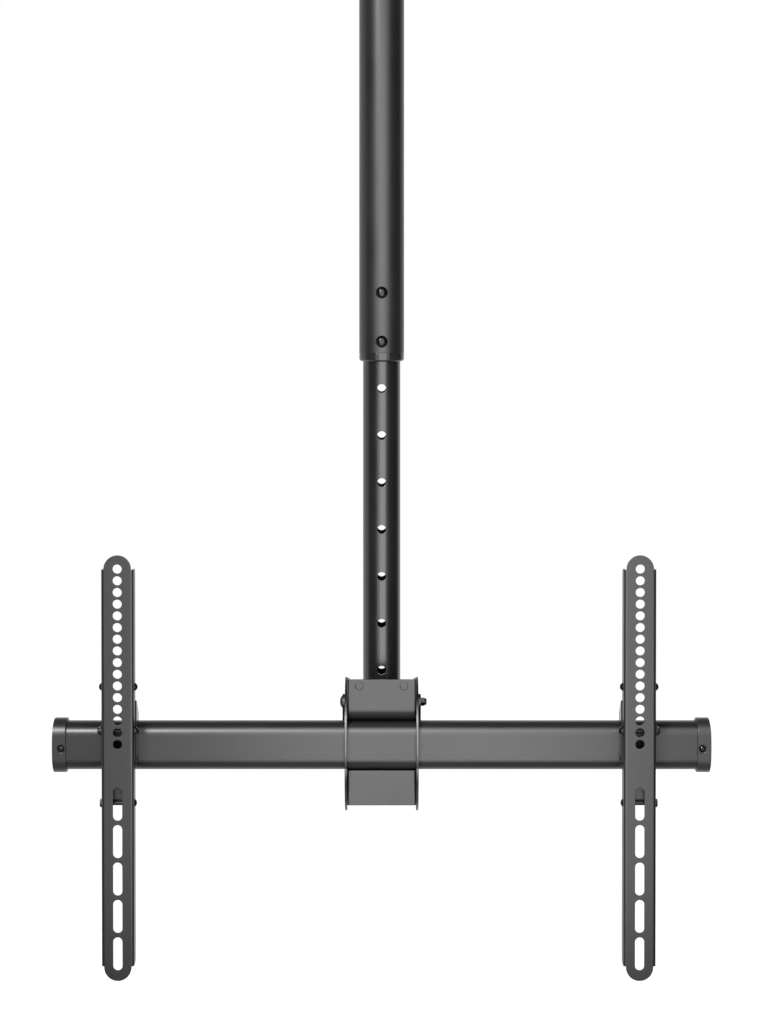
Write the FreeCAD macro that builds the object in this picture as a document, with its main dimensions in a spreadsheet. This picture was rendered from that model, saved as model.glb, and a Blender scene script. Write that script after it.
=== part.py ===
import FreeCAD, Part
import math
import os
import Sketcher
from FreeCAD import Placement, Rotation, Vector

# Telescopic ceiling mount for a television.
# The column hangs along Z from a ceiling plate whose top face is z = 0 and whose centre is the origin.
# The screen side looks towards -Y. A rail across the column's foot carries two arms.

# Driving sizes in millimetres. Every size is written once here and reaches the pieces through the sheet.
SIZES = {
    # Ceiling plate, bolted to the ceiling
    "plate_width": 180.0,
    "plate_depth": 120.0,
    "plate_thick": 4.0,
    "plate_corner": 12.0,
    "plate_hole_span_x": 140.0,
    "plate_hole_span_y": 80.0,
    "plate_hole_r": 4.5,
    # Swivel socket under the plate, with its ring and washer
    "socket_r": 35.0,
    "socket_wall": 4.0,
    "socket_height": 30.0,
    "socket_flange_r": 47.0,
    "socket_flange_thick": 4.0,
    "ring_thick": 5.0,
    "ring_screw_circle_r": 41.0,
    "ring_screw_count": 4.0,
    "ring_screw_r": 2.5,
    "ring_screw_head_r": 4.75,
    "ring_screw_head": 2.75,
    "washer_thick": 2.0,
    "collar_thick": 5.0,
    # Outer column, with its end ring and height screws
    "column_r": 24.0,
    "column_wall": 2.0,
    "column_length": 484.0,
    "column_top_gap": 4.0,
    "end_ring_lip": 9.5,
    "end_ring_spigot": 14.0,
    "end_ring_round": 3.0,
    "height_screw_rise": 12.0,
    "height_screw_pitch": 52.0,
    "height_screw_r": 3.0,
    "height_screw_head_r": 6.4,
    "height_screw_head": 3.4,
    # Inner column, which slides in the outer one
    "mast_r": 20.0,
    "mast_wall": 2.0,
    "mast_length": 555.0,
    "mast_hole_r": 4.7,
    "mast_hole_pitch": 50.0,
    "mast_hole_count": 9.0,
    "mast_first_hole_depth": 35.0,
    "guide_height": 12.0,
    "guide_wall": 5.0,
    "plug_cap": 3.0,
    "plug_depth": 12.0,
    # Tilt joint: a bolt along X through the yoke's ears
    "pivot_ahead": 40.0,
    "pivot_rise": 90.2,
    "tilt_bolt_r": 2.5,
    "tilt_head_r": 6.7,
    "tilt_head": 2.8,
    "tilt_nut_flats": 8.0,
    "tilt_nut_height": 4.0,
    "tilt_nut_dome": 2.1,
    "tilt_bolt_end": 1.0,
    "spacer_wall": 3.0,
    "yoke_sheet": 2.5,
    "yoke_ear_r": 8.2,
    "yoke_shoulder": 4.0,
    "yoke_drop": 53.0,
    "yoke_foot": 8.0,
    "stay_thick": 4.0,
    "stay_wall": 7.0,
    "stay_mouth": 16.0,
    "stay_inset": 6.0,
    # Carriage: two side plates and a folded saddle round the rail
    "plate_inner_x": 36.0,
    "side_sheet": 2.5,
    "side_top_rise": 39.65,
    "side_top_back": 15.0,
    "side_low_drop": 47.15,
    "side_low_back": 3.0,
    "side_nose": 8.0,
    "side_tip_round": 2.0,
    "side_brow_back": 3.0,
    "side_brow_drop": 4.0,
    "side_arch_back": 13.0,
    "side_arch_rise": 26.0,
    "side_chin_back": 5.0,
    "side_chin_drop": 27.0,
    "saddle_side_gap": 0.1,
    "saddle_sheet": 2.5,
    "saddle_setback": 6.0,
    "saddle_rise": 44.7,
    "saddle_drop": 36.7,
    "saddle_edge_round": 2.3,
    "saddle_return": 10.0,
    "saddle_bend": 14.2,
    "saddle_low_bend": 0.6,
    "saddle_back_bend": 6.0,
    # Rail, its caps and their screws
    "rail_height": 50.0,
    "rail_depth": 30.0,
    "rail_wall": 2.0,
    "rail_corner": 12.6,
    "rail_half": 339.25,
    "rail_ahead": 25.0,
    "rail_drop": 40.55,
    "cap_overlap": 11.2,
    "cap_wall": 2.9,
    "cap_end": 3.0,
    "cap_dome": 1.0,
    "cap_lead": 0.6,
    "cap_screw_inset": 6.05,
    "cap_screw_drop": 1.05,
    "cap_screw_r": 2.0,
    "cap_screw_head_r": 3.7,
    "cap_screw_head": 1.9,
    "cap_bore_r": 4.8,
    "cap_seat": 0.8,
    "rail_screw_r": 3.0,
    "rail_screw_span": 40.0,
    "rail_screw_head_r": 5.2,
    "rail_screw_head": 3.0,
    # Arms: folded channels with a row of holes and a row of slots
    "left_arm_inset": 68.45,
    "right_arm_inset": 74.45,
    "arm_ahead": 32.0,
    "arm_rise": 203.65,
    "arm_length": 437.7,
    "arm_width": 33.4,
    "arm_tongue": 28.0,
    "arm_sheet": 2.0,
    "arm_depth": 17.0,
    "arm_bend": 3.3,
    "arm_flange_inset": 15.0,
    "arm_flange_round": 7.0,
    "arm_hole_r": 4.7,
    "arm_hole_drop": 14.0,
    "arm_hole_pitch": 12.0,
    "arm_hole_count": 16.0,
    "arm_slot_length": 34.2,
    "arm_slot_width": 9.5,
    "arm_slot_rise": 27.9,
    "arm_slot_pitch": 38.55,
    "arm_slot_count": 5.0,
    # Hook bracket in each arm, its bolts and link plates
    "bolt_setback": 9.0,
    "bolt_top_rise": 67.35,
    "bolt_mid_rise": 21.85,
    "bolt_low_drop": 52.4,
    "pin_drop": 9.65,
    "arm_bolt_r": 2.5,
    "arm_bolt_head_r": 4.3,
    "arm_bolt_head": 3.5,
    "arm_nut_flats": 8.0,
    "arm_nut_height": 2.2,
    "arm_nut_dome": 1.3,
    "low_bolt_head": 2.4,
    "nut_bevel": 0.7,
    "link_pin_r": 2.0,
    "link_pin_head_r": 3.0,
    "link_pin_head": 0.8,
    "link_sheet": 1.2,
    "link_r": 5.8,
    "link_rise": 30.0,
    "link_shoulder": 10.0,
    "link_crown": 2.5,
    "link_drop": 38.0,
    "link_corner": 4.0,
    "link_rail_gap": 2.0,
    "hook_sheet": 2.5,
    "hook_rise": 7.0,
    "hook_shoulder": 22.0,
    "hook_back": 8.0,
    "hook_finger": 14.0,
    "hook_foot": 8.0,
    "hook_web_gap": 0.4,
    "hook_relief": 0.9,
    "hook_web_drop": 4.65,
    # Clearances
    "weld_gap": 0.05,
    "thread_gap": 0.05,
    "pivot_gap": 0.05,
    "swivel_gap": 0.1,
    "slide_gap": 0.12,
    "seat_gap": 0.2,
    "free_gap": 0.3,
    "collar_gap": 1.0,
    # How far a cut reaches beyond the piece that it goes through
    "overshoot": 2.0,
}

doc = FreeCAD.newDocument("tv_ceiling_mount")
sheet = doc.addObject("Spreadsheet::Sheet", "sizes")
for row, (alias, number) in enumerate(SIZES.items(), start=1):
    sheet.set(f"A{row}", alias)
    sheet.set(f"B{row}", str(number))
    sheet.setAlias(f"B{row}", alias)
doc.recompute()


class Dim:
    """A size that knows its number and the sheet expression it comes from."""

    def __init__(self, number, text):
        self.number = number
        self.text = text

    def __add__(self, other):
        other = dim(other)
        return Dim(self.number + other.number, f"({self.text} + {other.text})")

    def __sub__(self, other):
        other = dim(other)
        return Dim(self.number - other.number, f"({self.text} - {other.text})")

    def __mul__(self, other):
        other = dim(other)
        return Dim(self.number * other.number, f"({self.text} * {other.text})")

    def __truediv__(self, other):
        other = dim(other)
        return Dim(self.number / other.number, f"({self.text} / {other.text})")

    def __neg__(self):
        return Dim(-self.number, f"(-1 * {self.text})")

    def __rmul__(self, other):
        return dim(other) * self

    def __rsub__(self, other):
        return dim(other) - self


def dim(item):
    return item if isinstance(item, Dim) else Dim(float(item), str(float(item)))


def size(alias):
    return Dim(SIZES[alias], f"sizes.{alias}")


ZERO = dim(0)
# Two places nearer than this are the same
TOUCH = 0.01
# How far a quarter arc's middle lies inside its corner, as a share of the radius
ARC_INSET = 1 - math.sqrt(0.5)


def bind(thing, prop, length):
    thing.setExpression(prop, dim(length).text)


# Bodies, sketches and features

def new_body(name, x=None, y=None, z=None, turn=None):
    body = doc.addObject("PartDesign::Body", name)
    body.Label = name
    if turn is not None:
        body.Placement = Placement(Vector(), turn)
    for letter, place in zip("xyz", (x, y, z)):
        if place is not None:
            bind(body, f"Placement.Base.{letter}", place)
    return body


def sketch_on(body, role, lift=None):
    plane = next(item for item in body.Origin.OriginFeatures if item.Role == role)
    sketch = body.newObject("Sketcher::SketchObject", "Sketch")
    sketch.AttachmentSupport = [(plane, "")]
    sketch.MapMode = "FlatFace"
    if lift is not None:
        bind(sketch, "AttachmentOffset.Base.z", lift)
    return sketch


def fix_point(sketch, edge, end, x, y):
    for kind, place in (("DistanceX", x), ("DistanceY", y)):
        index = sketch.addConstraint(Sketcher.Constraint(kind, edge, end, place.number))
        bind(sketch, f"Constraints[{index}]", place)


def arc_through(first, middle, last):
    circle = Part.Arc(first, middle, last).toShape().Curve
    start = math.atan2(first.y - circle.Center.y, first.x - circle.Center.x)
    finish = math.atan2(last.y - circle.Center.y, last.x - circle.Center.x)
    turns = (middle - first).cross(last - middle).z
    clockwise = turns < 0
    if clockwise:
        start, finish = finish, start
    plain = Part.Circle(circle.Center, Vector(0, 0, 1), circle.Radius)
    return Part.ArcOfCircle(plain, start, finish), clockwise


def outline(sketch, points):
    """Close a loop through points (x, y); a point (x, y, mid_x, mid_y) is reached by an arc."""
    spots = [tuple(dim(part) for part in point) for point in points]
    first = sketch.GeometryCount
    ends = []
    for index, spot in enumerate(spots):
        before = spots[index - 1]
        begin = Vector(before[0].number, before[1].number, 0)
        finish = Vector(spot[0].number, spot[1].number, 0)
        if len(spot) == 2:
            sketch.addGeometry(Part.LineSegment(begin, finish), False)
            ends.append((1, 2))
        else:
            middle = Vector(spot[2].number, spot[3].number, 0)
            arc, clockwise = arc_through(begin, middle, finish)
            sketch.addGeometry(arc, False)
            ends.append((2, 1) if clockwise else (1, 2))
    count = len(spots)
    for index in range(count):
        following = (index + 1) % count
        joint = (first + index, ends[index][1], first + following, ends[following][0])
        sketch.addConstraint(Sketcher.Constraint("Coincident", *joint))
    for index, spot in enumerate(spots):
        fix_point(sketch, first + index, ends[index][1], spot[0], spot[1])
        if len(spot) == 4:
            mark = sketch.addGeometry(Part.Point(Vector(spot[2].number, spot[3].number, 0)), True)
            fix_point(sketch, mark, 1, spot[2], spot[3])
            sketch.addConstraint(Sketcher.Constraint("PointOnObject", mark, 1, first + index))


def rectangle(sketch, x0, x1, y0, y1):
    outline(sketch, [(x0, y0), (x1, y0), (x1, y1), (x0, y1)])


def stadium(sketch, x, y0, y1, radius):
    """A vertical round-ended bar, with its end centres at (x, y0) and (x, y1)."""
    left = x - radius
    right = x + radius
    outline(sketch, [(left, y0), (right, y0, x, y0 - radius), (right, y1), (left, y1, x, y1 + radius)])


def circle(sketch, x, y, radius):
    plain = Part.Circle(Vector(x.number, y.number, 0), Vector(0, 0, 1), radius.number)
    ring = sketch.addGeometry(plain, False)
    fix_point(sketch, ring, 3, x, y)
    index = sketch.addConstraint(Sketcher.Constraint("Radius", ring, radius.number))
    bind(sketch, f"Constraints[{index}]", radius)


def pad(body, sketch, length, back=False):
    feature = body.newObject("PartDesign::Pad", "Pad")
    feature.Profile = sketch
    feature.Reversed = back
    bind(feature, "Length", length)
    return feature


def pocket(body, sketch, length, back=False):
    """Cut along the sketch's own normal, or against it, and see that something went."""
    doc.recompute()
    before = body.Shape.Volume
    feature = body.newObject("PartDesign::Pocket", "Pocket")
    feature.Profile = sketch
    feature.Reversed = not back
    bind(feature, "Length", length)
    doc.recompute()
    if not body.Shape.Volume < before:
        raise RuntimeError(f"a pocket in {body.Label} cuts nothing")
    return feature


def revolve(body, sketch):
    feature = body.newObject("PartDesign::Revolution", "Revolution")
    feature.Profile = sketch
    feature.ReferenceAxis = (sketch, ["V_Axis"])
    feature.Angle = 360.0
    return feature


def spin_cut(body, sketch, axis):
    """Turn a groove all round the sketch's axis, and see that something went."""
    doc.recompute()
    before = body.Shape.Volume
    groove = body.newObject("PartDesign::Groove", "Groove")
    groove.Profile = sketch
    groove.ReferenceAxis = (sketch, [axis])
    groove.Angle = 360.0
    doc.recompute()
    if not body.Shape.Volume < before:
        raise RuntimeError(f"a groove in {body.Label} cuts nothing")


def pattern(body, feature, sketch, axis, pitch, count, back=False):
    copies = body.newObject("PartDesign::LinearPattern", "LinearPattern")
    copies.Originals = [feature]
    copies.Direction = (sketch, [axis])
    copies.Mode = "Spacing"
    copies.Reversed = back
    bind(copies, "Offset", pitch)
    bind(copies, "Occurrences", count)
    body.Tip = copies
    return copies


def mirrored(body, feature, role):
    plane = next(item for item in body.Origin.OriginFeatures if item.Role == role)
    copy = body.newObject("PartDesign::Mirrored", "Mirrored")
    copy.Originals = [feature]
    copy.MirrorPlane = (plane, [""])
    body.Tip = copy
    return copy


def fillet(body, radius, test):
    """Round the tip's straight edges whose middle and direction pass the test."""
    doc.recompute()
    base = body.Tip
    names = []
    for index, edge in enumerate(base.Shape.Edges, start=1):
        middle = edge.CenterOfMass
        if isinstance(edge.Curve, Part.Line) and test(middle, edge.Curve.Direction):
            names.append(f"Edge{index}")
    if not names:
        raise RuntimeError(f"no edge to round on {body.Label}")
    feature = body.newObject("PartDesign::Fillet", "Fillet")
    feature.Base = (base, names)
    bind(feature, "Radius", radius)
    doc.recompute()
    return feature


def chamfer_loop(body, length, x):
    """Bevel every edge of the tip that lies in the plane at x."""
    doc.recompute()
    base = body.Tip
    names = []
    for index, edge in enumerate(base.Shape.Edges, start=1):
        if all(near(vertex.X, x) for vertex in edge.Vertexes):
            names.append(f"Edge{index}")
    feature = body.newObject("PartDesign::Chamfer", "Chamfer")
    feature.Base = (base, names)
    bind(feature, "Size", length)
    doc.recompute()
    return feature


def near(a, b):
    return abs(a - dim(b).number) < TOUCH


def cylinder(name, radius, z0, z1):
    solid = doc.addObject("Part::Cylinder", name)
    bind(solid, "Radius", radius)
    bind(solid, "Height", z1 - z0)
    bind(solid, "Placement.Base.z", z0)
    return solid


def tube(name, outer_r, inner_r, z0, z1):
    hollow = doc.addObject("Part::Cut", name)
    hollow.Label = name
    hollow.Base = cylinder(f"{name}_outside", outer_r, z0, z1)
    hollow.Tool = cylinder(f"{name}_inside", inner_r, z0, z1)
    return hollow


def group(name, members):
    together = doc.addObject("Part::Compound", name)
    together.Label = name
    together.Links = members
    return together


# Fasteners: each is turned about its own Z axis, with the head's underside at z = 0

FACING = {
    "+X": Rotation(Vector(0, 1, 0), 90),
    "-X": Rotation(Vector(0, 1, 0), -90),
    "+Y": Rotation(Vector(1, 0, 0), -90),
    "-Y": Rotation(Vector(1, 0, 0), 90),
    "+Z": Rotation(),
    "-Z": Rotation(Vector(1, 0, 0), 180),
}
# Shares of a head's radius and height: the socket's radius and depth, and the dome's middle point
SOCKET_SHARE = 0.42
SOCKET_DEPTH_SHARE = 0.6
SOCKET_START = 1.0
DOME_SHARE = 0.75
DOME_RISE_SHARE = 0.54
# The same for a riveted pin's head, which is flat in the middle
RIVET_FLAT_SHARE = 0.4
RIVET_RISE_SHARE = 0.65
# The domed collar of a lock nut: its radius as a share of the flats, and its middle point's rise
COLLAR_SHARE = 0.45
COLLAR_RISE_SHARE = 0.72


def socket_cut(body, radius, top, depth):
    """Sink a hexagon socket in a screw's head, from just above its top."""
    sketch = sketch_on(body, "XY_Plane", top + SOCKET_START)
    corners = []
    for step in range(6):
        angle = math.radians(60 * step)
        corners.append((radius * math.cos(angle), radius * math.sin(angle)))
    outline(sketch, corners)
    pocket(body, sketch, depth + SOCKET_START, back=True)


def button_screw(name, facing, x, y, z, shank_r, length, head_r, head):
    """A screw with a low domed head and a hexagon socket."""
    body = new_body(name, x, y, z, FACING[facing])
    sketch = sketch_on(body, "XZ_Plane")
    outline(sketch, [
        (ZERO, -length),
        (shank_r, -length),
        (shank_r, ZERO),
        (head_r, ZERO),
        (ZERO, head, head_r * DOME_SHARE, head * DOME_RISE_SHARE),
    ])
    revolve(body, sketch)
    socket_cut(body, head_r * SOCKET_SHARE, head, head * SOCKET_DEPTH_SHARE)
    return body


def hex_nut(name, facing, x, y, z, flats, height, bore_r, dome=ZERO):
    """A hexagon nut, standing on z = 0, with its outer corners bevelled and a collar for a dome."""
    body = new_body(name, x, y, z, FACING[facing])
    sketch = sketch_on(body, "XY_Plane")
    corner_r = flats / math.sqrt(3)
    corners = []
    for step in range(6):
        angle = math.radians(60 * step + 30)
        corners.append((corner_r * math.cos(angle), corner_r * math.sin(angle)))
    outline(sketch, corners)
    circle(sketch, ZERO, ZERO, bore_r)
    pad(body, sketch, height)
    bevel = size("nut_bevel")
    turned = sketch_on(body, "XZ_Plane")
    outline(turned, [
        (corner_r - bevel, height + bevel),
        (corner_r - bevel, height),
        (corner_r + bevel, height - bevel * 2),
        (corner_r + bevel, height + bevel),
    ])
    spin_cut(body, turned, "V_Axis")
    if dome.number > 0:
        collar = sketch_on(body, "XZ_Plane")
        outline(collar, [
            (bore_r, height),
            (flats * COLLAR_SHARE, height),
            (bore_r, height + dome, flats * COLLAR_SHARE * DOME_SHARE + bore_r * (1 - DOME_SHARE),
             height + dome * COLLAR_RISE_SHARE),
        ])
        revolve(body, collar)
    return body


# Named places

PLATE_UNDER = -size("plate_thick")
SOCKET_LOW = PLATE_UNDER - size("socket_height")
RING_LOW = SOCKET_LOW - size("ring_thick")
WASHER_TOP = SOCKET_LOW + size("washer_thick")
COLLAR_LOW = WASHER_TOP + size("seat_gap")
COLLAR_TOP = COLLAR_LOW + size("collar_thick")
COLUMN_TOP = PLATE_UNDER - size("column_top_gap")
COLUMN_LOW = COLUMN_TOP - size("column_length")
COLUMN_BORE_R = size("column_r") - size("column_wall")
LOW_SCREW_Z = COLUMN_LOW + size("height_screw_rise")
HIGH_SCREW_Z = LOW_SCREW_Z + size("height_screw_pitch")
FIRST_HOLE_Z = LOW_SCREW_Z + size("mast_hole_pitch")
MAST_TOP = FIRST_HOLE_Z + size("mast_first_hole_depth")
MAST_LOW = MAST_TOP - size("mast_length")
MAST_BORE_R = size("mast_r") - size("mast_wall")
COLLAR_R = size("socket_r") - size("socket_wall") - size("collar_gap")
PIVOT_Y = -size("pivot_ahead")
PIVOT_Z = MAST_LOW + size("pivot_rise")
RAIL_Y = PIVOT_Y - size("rail_ahead")
RAIL_Z = PIVOT_Z - size("rail_drop")
SIDE_OUTER_X = size("plate_inner_x") + size("side_sheet")
EAR_INNER_X = SIDE_OUTER_X + size("free_gap")
EAR_OUTER_X = EAR_INNER_X + size("yoke_sheet")
YOKE_TOP = PIVOT_Z + size("yoke_ear_r") - size("yoke_shoulder")
YOKE_LOW = PIVOT_Z - size("yoke_drop")
WEB_BACK_Y = -size("mast_r")
WEB_FRONT_Y = WEB_BACK_Y - size("yoke_sheet")
RAIL_FRONT_Y = RAIL_Y - size("rail_depth") / 2
RAIL_BACK_Y = RAIL_Y + size("rail_depth") / 2
RAIL_TOP = RAIL_Z + size("rail_height") / 2
RAIL_LOW = RAIL_Z - size("rail_height") / 2
CAP_SCREW_Z = RAIL_Z - size("cap_screw_drop")
CAP_SCREW_X = size("rail_half") - size("cap_screw_inset")
SADDLE_FRONT_Y = RAIL_FRONT_Y + size("saddle_setback")
SADDLE_TOP = RAIL_TOP + size("saddle_rise")
SADDLE_LOW = RAIL_LOW - size("saddle_drop")
SADDLE_HALF = size("plate_inner_x") - size("saddle_side_gap")
ARM_FACE_Y = RAIL_FRONT_Y - size("arm_ahead")
ARM_BACK_Y = ARM_FACE_Y + size("arm_sheet")
ARM_TOP = RAIL_Z + size("arm_rise")
ARM_LOW = ARM_TOP - size("arm_length")
ARM_INNER_X = size("arm_width") / 2 - size("arm_sheet")
HOOK_OUTER_X = ARM_INNER_X - size("free_gap")
HOOK_INNER_X = HOOK_OUTER_X - size("hook_sheet")
LINK_OUTER_X = size("arm_width") / 2 + size("link_sheet")
BOLT_Y = ARM_FACE_Y + size("bolt_setback")
BOLT_TOP_Z = RAIL_Z + size("bolt_top_rise")
BOLT_MID_Z = RAIL_Z + size("bolt_mid_rise")
BOLT_LOW_Z = RAIL_Z - size("bolt_low_drop")
LINK_FRONT_Y = ARM_FACE_Y + size("arm_depth")
LINK_BACK_Y = RAIL_FRONT_Y - size("link_rail_gap")
PIN_Y = (LINK_FRONT_Y + LINK_BACK_Y) / 2
PIN_Z = RAIL_Z - size("pin_drop")


# Ceiling side

def ceiling_plate():
    body = new_body("ceiling_plate")
    sketch = sketch_on(body, "XY_Plane", PLATE_UNDER)
    half_x = size("plate_width") / 2
    half_y = size("plate_depth") / 2
    rectangle(sketch, -half_x, half_x, -half_y, half_y)
    hole_x = size("plate_hole_span_x") / 2
    hole_y = size("plate_hole_span_y") / 2
    for x in (-hole_x, hole_x):
        for y in (-hole_y, hole_y):
            circle(sketch, x, y, size("plate_hole_r"))
    pad(body, sketch, size("plate_thick"))
    fillet(body, size("plate_corner"), lambda middle, way: abs(way.z) > 0.9)
    return body


def ring_screw_spots():
    count = int(SIZES["ring_screw_count"])
    for step in range(count):
        angle = math.radians(45 + 360 * step / count)
        reach = size("ring_screw_circle_r")
        yield step, reach * math.cos(angle), reach * math.sin(angle)


def ceiling_socket():
    body = new_body("ceiling_socket")
    sketch = sketch_on(body, "XZ_Plane")
    bore = size("socket_r") - size("socket_wall")
    flange_top = SOCKET_LOW + size("socket_flange_thick")
    outline(sketch, [
        (bore, SOCKET_LOW),
        (size("socket_flange_r"), SOCKET_LOW),
        (size("socket_flange_r"), flange_top),
        (size("socket_r"), flange_top),
        (size("socket_r"), PLATE_UNDER),
        (bore, PLATE_UNDER),
    ])
    revolve(body, sketch)
    holes = sketch_on(body, "XY_Plane", SOCKET_LOW)
    for _, x, y in ring_screw_spots():
        circle(holes, x, y, size("ring_screw_r") + size("thread_gap"))
    pocket(body, holes, size("socket_flange_thick"))
    return body


def swivel_ring():
    body = new_body("swivel_ring")
    sketch = sketch_on(body, "XY_Plane", RING_LOW)
    circle(sketch, ZERO, ZERO, size("socket_flange_r"))
    circle(sketch, ZERO, ZERO, size("column_r") + size("swivel_gap"))
    for _, x, y in ring_screw_spots():
        circle(sketch, x, y, size("ring_screw_r") + size("seat_gap"))
    pad(body, sketch, size("ring_thick"))
    return body


def swivel_ring_screws():
    length = size("ring_thick") + size("socket_flange_thick")
    screws = []
    for step, x, y in ring_screw_spots():
        screws.append(button_screw(f"ring_screw_{step + 1}", "-Z", x, y, RING_LOW, size("ring_screw_r"),
                                   length, size("ring_screw_head_r"), size("ring_screw_head")))
    return group("swivel_ring_screws", screws)


def swivel_washer():
    outer = size("socket_r") - size("socket_wall") - size("free_gap")
    return tube("swivel_washer", outer, size("column_r") + size("free_gap"), SOCKET_LOW, WASHER_TOP)


# Outer column

def outer_column():
    body = new_body("outer_column")
    sketch = sketch_on(body, "XY_Plane", COLUMN_LOW)
    circle(sketch, ZERO, ZERO, size("column_r"))
    circle(sketch, ZERO, ZERO, COLUMN_BORE_R)
    pad(body, sketch, size("column_length"))
    holes = sketch_on(body, "XZ_Plane")
    for z in (LOW_SCREW_Z, HIGH_SCREW_Z):
        circle(holes, ZERO, z, size("height_screw_r") + size("thread_gap"))
    pocket(body, holes, size("column_r"))
    return body


def column_collar():
    return tube("column_collar", COLLAR_R, size("column_r") + size("weld_gap"), COLLAR_LOW, COLLAR_TOP)


def column_end_ring():
    body = new_body("column_end_ring")
    bore = size("mast_r") + size("slide_gap")
    spigot_r = COLUMN_BORE_R - size("weld_gap")
    lip_low = COLUMN_LOW - size("end_ring_lip")
    corner = size("end_ring_round")
    inset = corner * ARC_INSET
    sketch = sketch_on(body, "XZ_Plane")
    outline(sketch, [
        (bore, lip_low),
        (size("column_r") - corner, lip_low),
        (size("column_r"), lip_low + corner, size("column_r") - inset, lip_low + inset),
        (size("column_r"), COLUMN_LOW),
        (spigot_r, COLUMN_LOW),
        (spigot_r, COLUMN_LOW + size("end_ring_spigot")),
        (bore, COLUMN_LOW + size("end_ring_spigot")),
    ])
    revolve(body, sketch)
    holes = sketch_on(body, "XZ_Plane")
    circle(holes, ZERO, LOW_SCREW_Z, size("height_screw_r") + size("seat_gap"))
    pocket(body, holes, size("column_r"))
    return body


def height_screws():
    reach = size("column_r") - size("mast_r") - size("free_gap")
    screws = []
    for number, z in enumerate((LOW_SCREW_Z, HIGH_SCREW_Z), start=1):
        screws.append(button_screw(f"height_screw_{number}", "-Y", ZERO, -size("column_r"), z,
                                   size("height_screw_r"), reach, size("height_screw_head_r"),
                                   size("height_screw_head")))
    return group("height_screws", screws)


# Inner column and its yoke

def inner_column():
    body = new_body("inner_column")
    sketch = sketch_on(body, "XY_Plane", MAST_LOW)
    circle(sketch, ZERO, ZERO, size("mast_r"))
    circle(sketch, ZERO, ZERO, MAST_BORE_R)
    pad(body, sketch, size("mast_length"))
    hole = sketch_on(body, "XZ_Plane", -size("mast_r") - size("overshoot"))
    circle(hole, ZERO, FIRST_HOLE_Z, size("mast_hole_r"))
    cut = pocket(body, hole, (size("mast_r") + size("overshoot")) * 2)
    pattern(body, cut, hole, "V_Axis", size("mast_hole_pitch"), size("mast_hole_count"), back=True)
    return body


def mast_guide():
    body = new_body("mast_guide")
    sketch = sketch_on(body, "XZ_Plane")
    top = MAST_TOP + size("guide_height")
    spigot_low = MAST_TOP - size("guide_height")
    guide_r = COLUMN_BORE_R - size("slide_gap")
    bore = MAST_BORE_R - size("guide_wall")
    outline(sketch, [
        (bore, spigot_low),
        (MAST_BORE_R - size("weld_gap"), spigot_low),
        (MAST_BORE_R - size("weld_gap"), MAST_TOP),
        (guide_r, MAST_TOP),
        (guide_r, top),
        (bore, top),
    ])
    revolve(body, sketch)
    return body


def mast_plug():
    body = new_body("mast_plug")
    sketch = sketch_on(body, "XZ_Plane")
    outline(sketch, [
        (ZERO, MAST_LOW - size("plug_cap")),
        (size("mast_r"), MAST_LOW - size("plug_cap")),
        (size("mast_r"), MAST_LOW),
        (MAST_BORE_R - size("weld_gap"), MAST_LOW),
        (MAST_BORE_R - size("weld_gap"), MAST_LOW + size("plug_depth")),
        (ZERO, MAST_LOW + size("plug_depth")),
    ])
    revolve(body, sketch)
    return body


def yoke():
    """A folded U: a web against the inner column's front, and an ear that rises a little on each side."""
    body = new_body("yoke")
    web = sketch_on(body, "XZ_Plane", -WEB_BACK_Y)
    rectangle(web, -EAR_OUTER_X, EAR_OUTER_X, YOKE_LOW, YOKE_TOP)
    pad(body, web, size("yoke_sheet"))
    ear = sketch_on(body, "YZ_Plane", EAR_INNER_X)
    radius = size("yoke_ear_r")
    slant = math.radians(30)
    low_y = PIVOT_Y - radius * math.cos(slant)
    low_z = PIVOT_Z - radius * math.sin(slant)
    outline(ear, [
        (WEB_BACK_Y, YOKE_LOW),
        (WEB_BACK_Y, YOKE_TOP),
        (PIVOT_Y, PIVOT_Z + radius),
        (low_y, low_z, low_y, PIVOT_Z + radius * math.sin(slant)),
        (WEB_BACK_Y - size("yoke_foot"), YOKE_LOW),
    ])
    side = pad(body, ear, size("yoke_sheet"))
    mirrored(body, side, "YZ_Plane")
    fillet(body, size("yoke_sheet"), lambda middle, way: abs(way.z) > 0.9 and near(middle.y, WEB_BACK_Y))
    hole = sketch_on(body, "YZ_Plane", -EAR_OUTER_X - size("overshoot"))
    circle(hole, PIVOT_Y, PIVOT_Z, size("tilt_bolt_r") + size("seat_gap"))
    pocket(body, hole, (EAR_OUTER_X + size("overshoot")) * 2)
    return body


def stay(name, top):
    """A horseshoe plate welded round the inner column, its mouth against the yoke's web."""
    body = new_body(name)
    low = top - size("stay_thick")
    reach = size("mast_r") + size("stay_wall")
    sketch = sketch_on(body, "XY_Plane", low)
    outline(sketch, [
        (-reach, WEB_BACK_Y),
        (reach, WEB_BACK_Y),
        (reach, ZERO),
        (-reach, ZERO, ZERO, reach),
    ])
    pad(body, sketch, size("stay_thick"))
    bore = sketch_on(body, "XY_Plane", low - size("overshoot"))
    circle(bore, ZERO, ZERO, size("mast_r"))
    pocket(body, bore, size("stay_thick") + size("overshoot") * 2)
    mouth = sketch_on(body, "XY_Plane", low - size("overshoot"))
    half = size("stay_mouth") / 2
    rectangle(mouth, -half, half, WEB_BACK_Y - size("overshoot"), ZERO)
    pocket(body, mouth, size("stay_thick") + size("overshoot") * 2)
    return body


def tilt_bolt():
    nut_end = EAR_OUTER_X + size("tilt_nut_height") + size("tilt_nut_dome")
    length = EAR_OUTER_X + nut_end - size("tilt_bolt_end")
    return button_screw("tilt_bolt", "-X", -EAR_OUTER_X, PIVOT_Y, PIVOT_Z, size("tilt_bolt_r"), length,
                        size("tilt_head_r"), size("tilt_head"))


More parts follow.
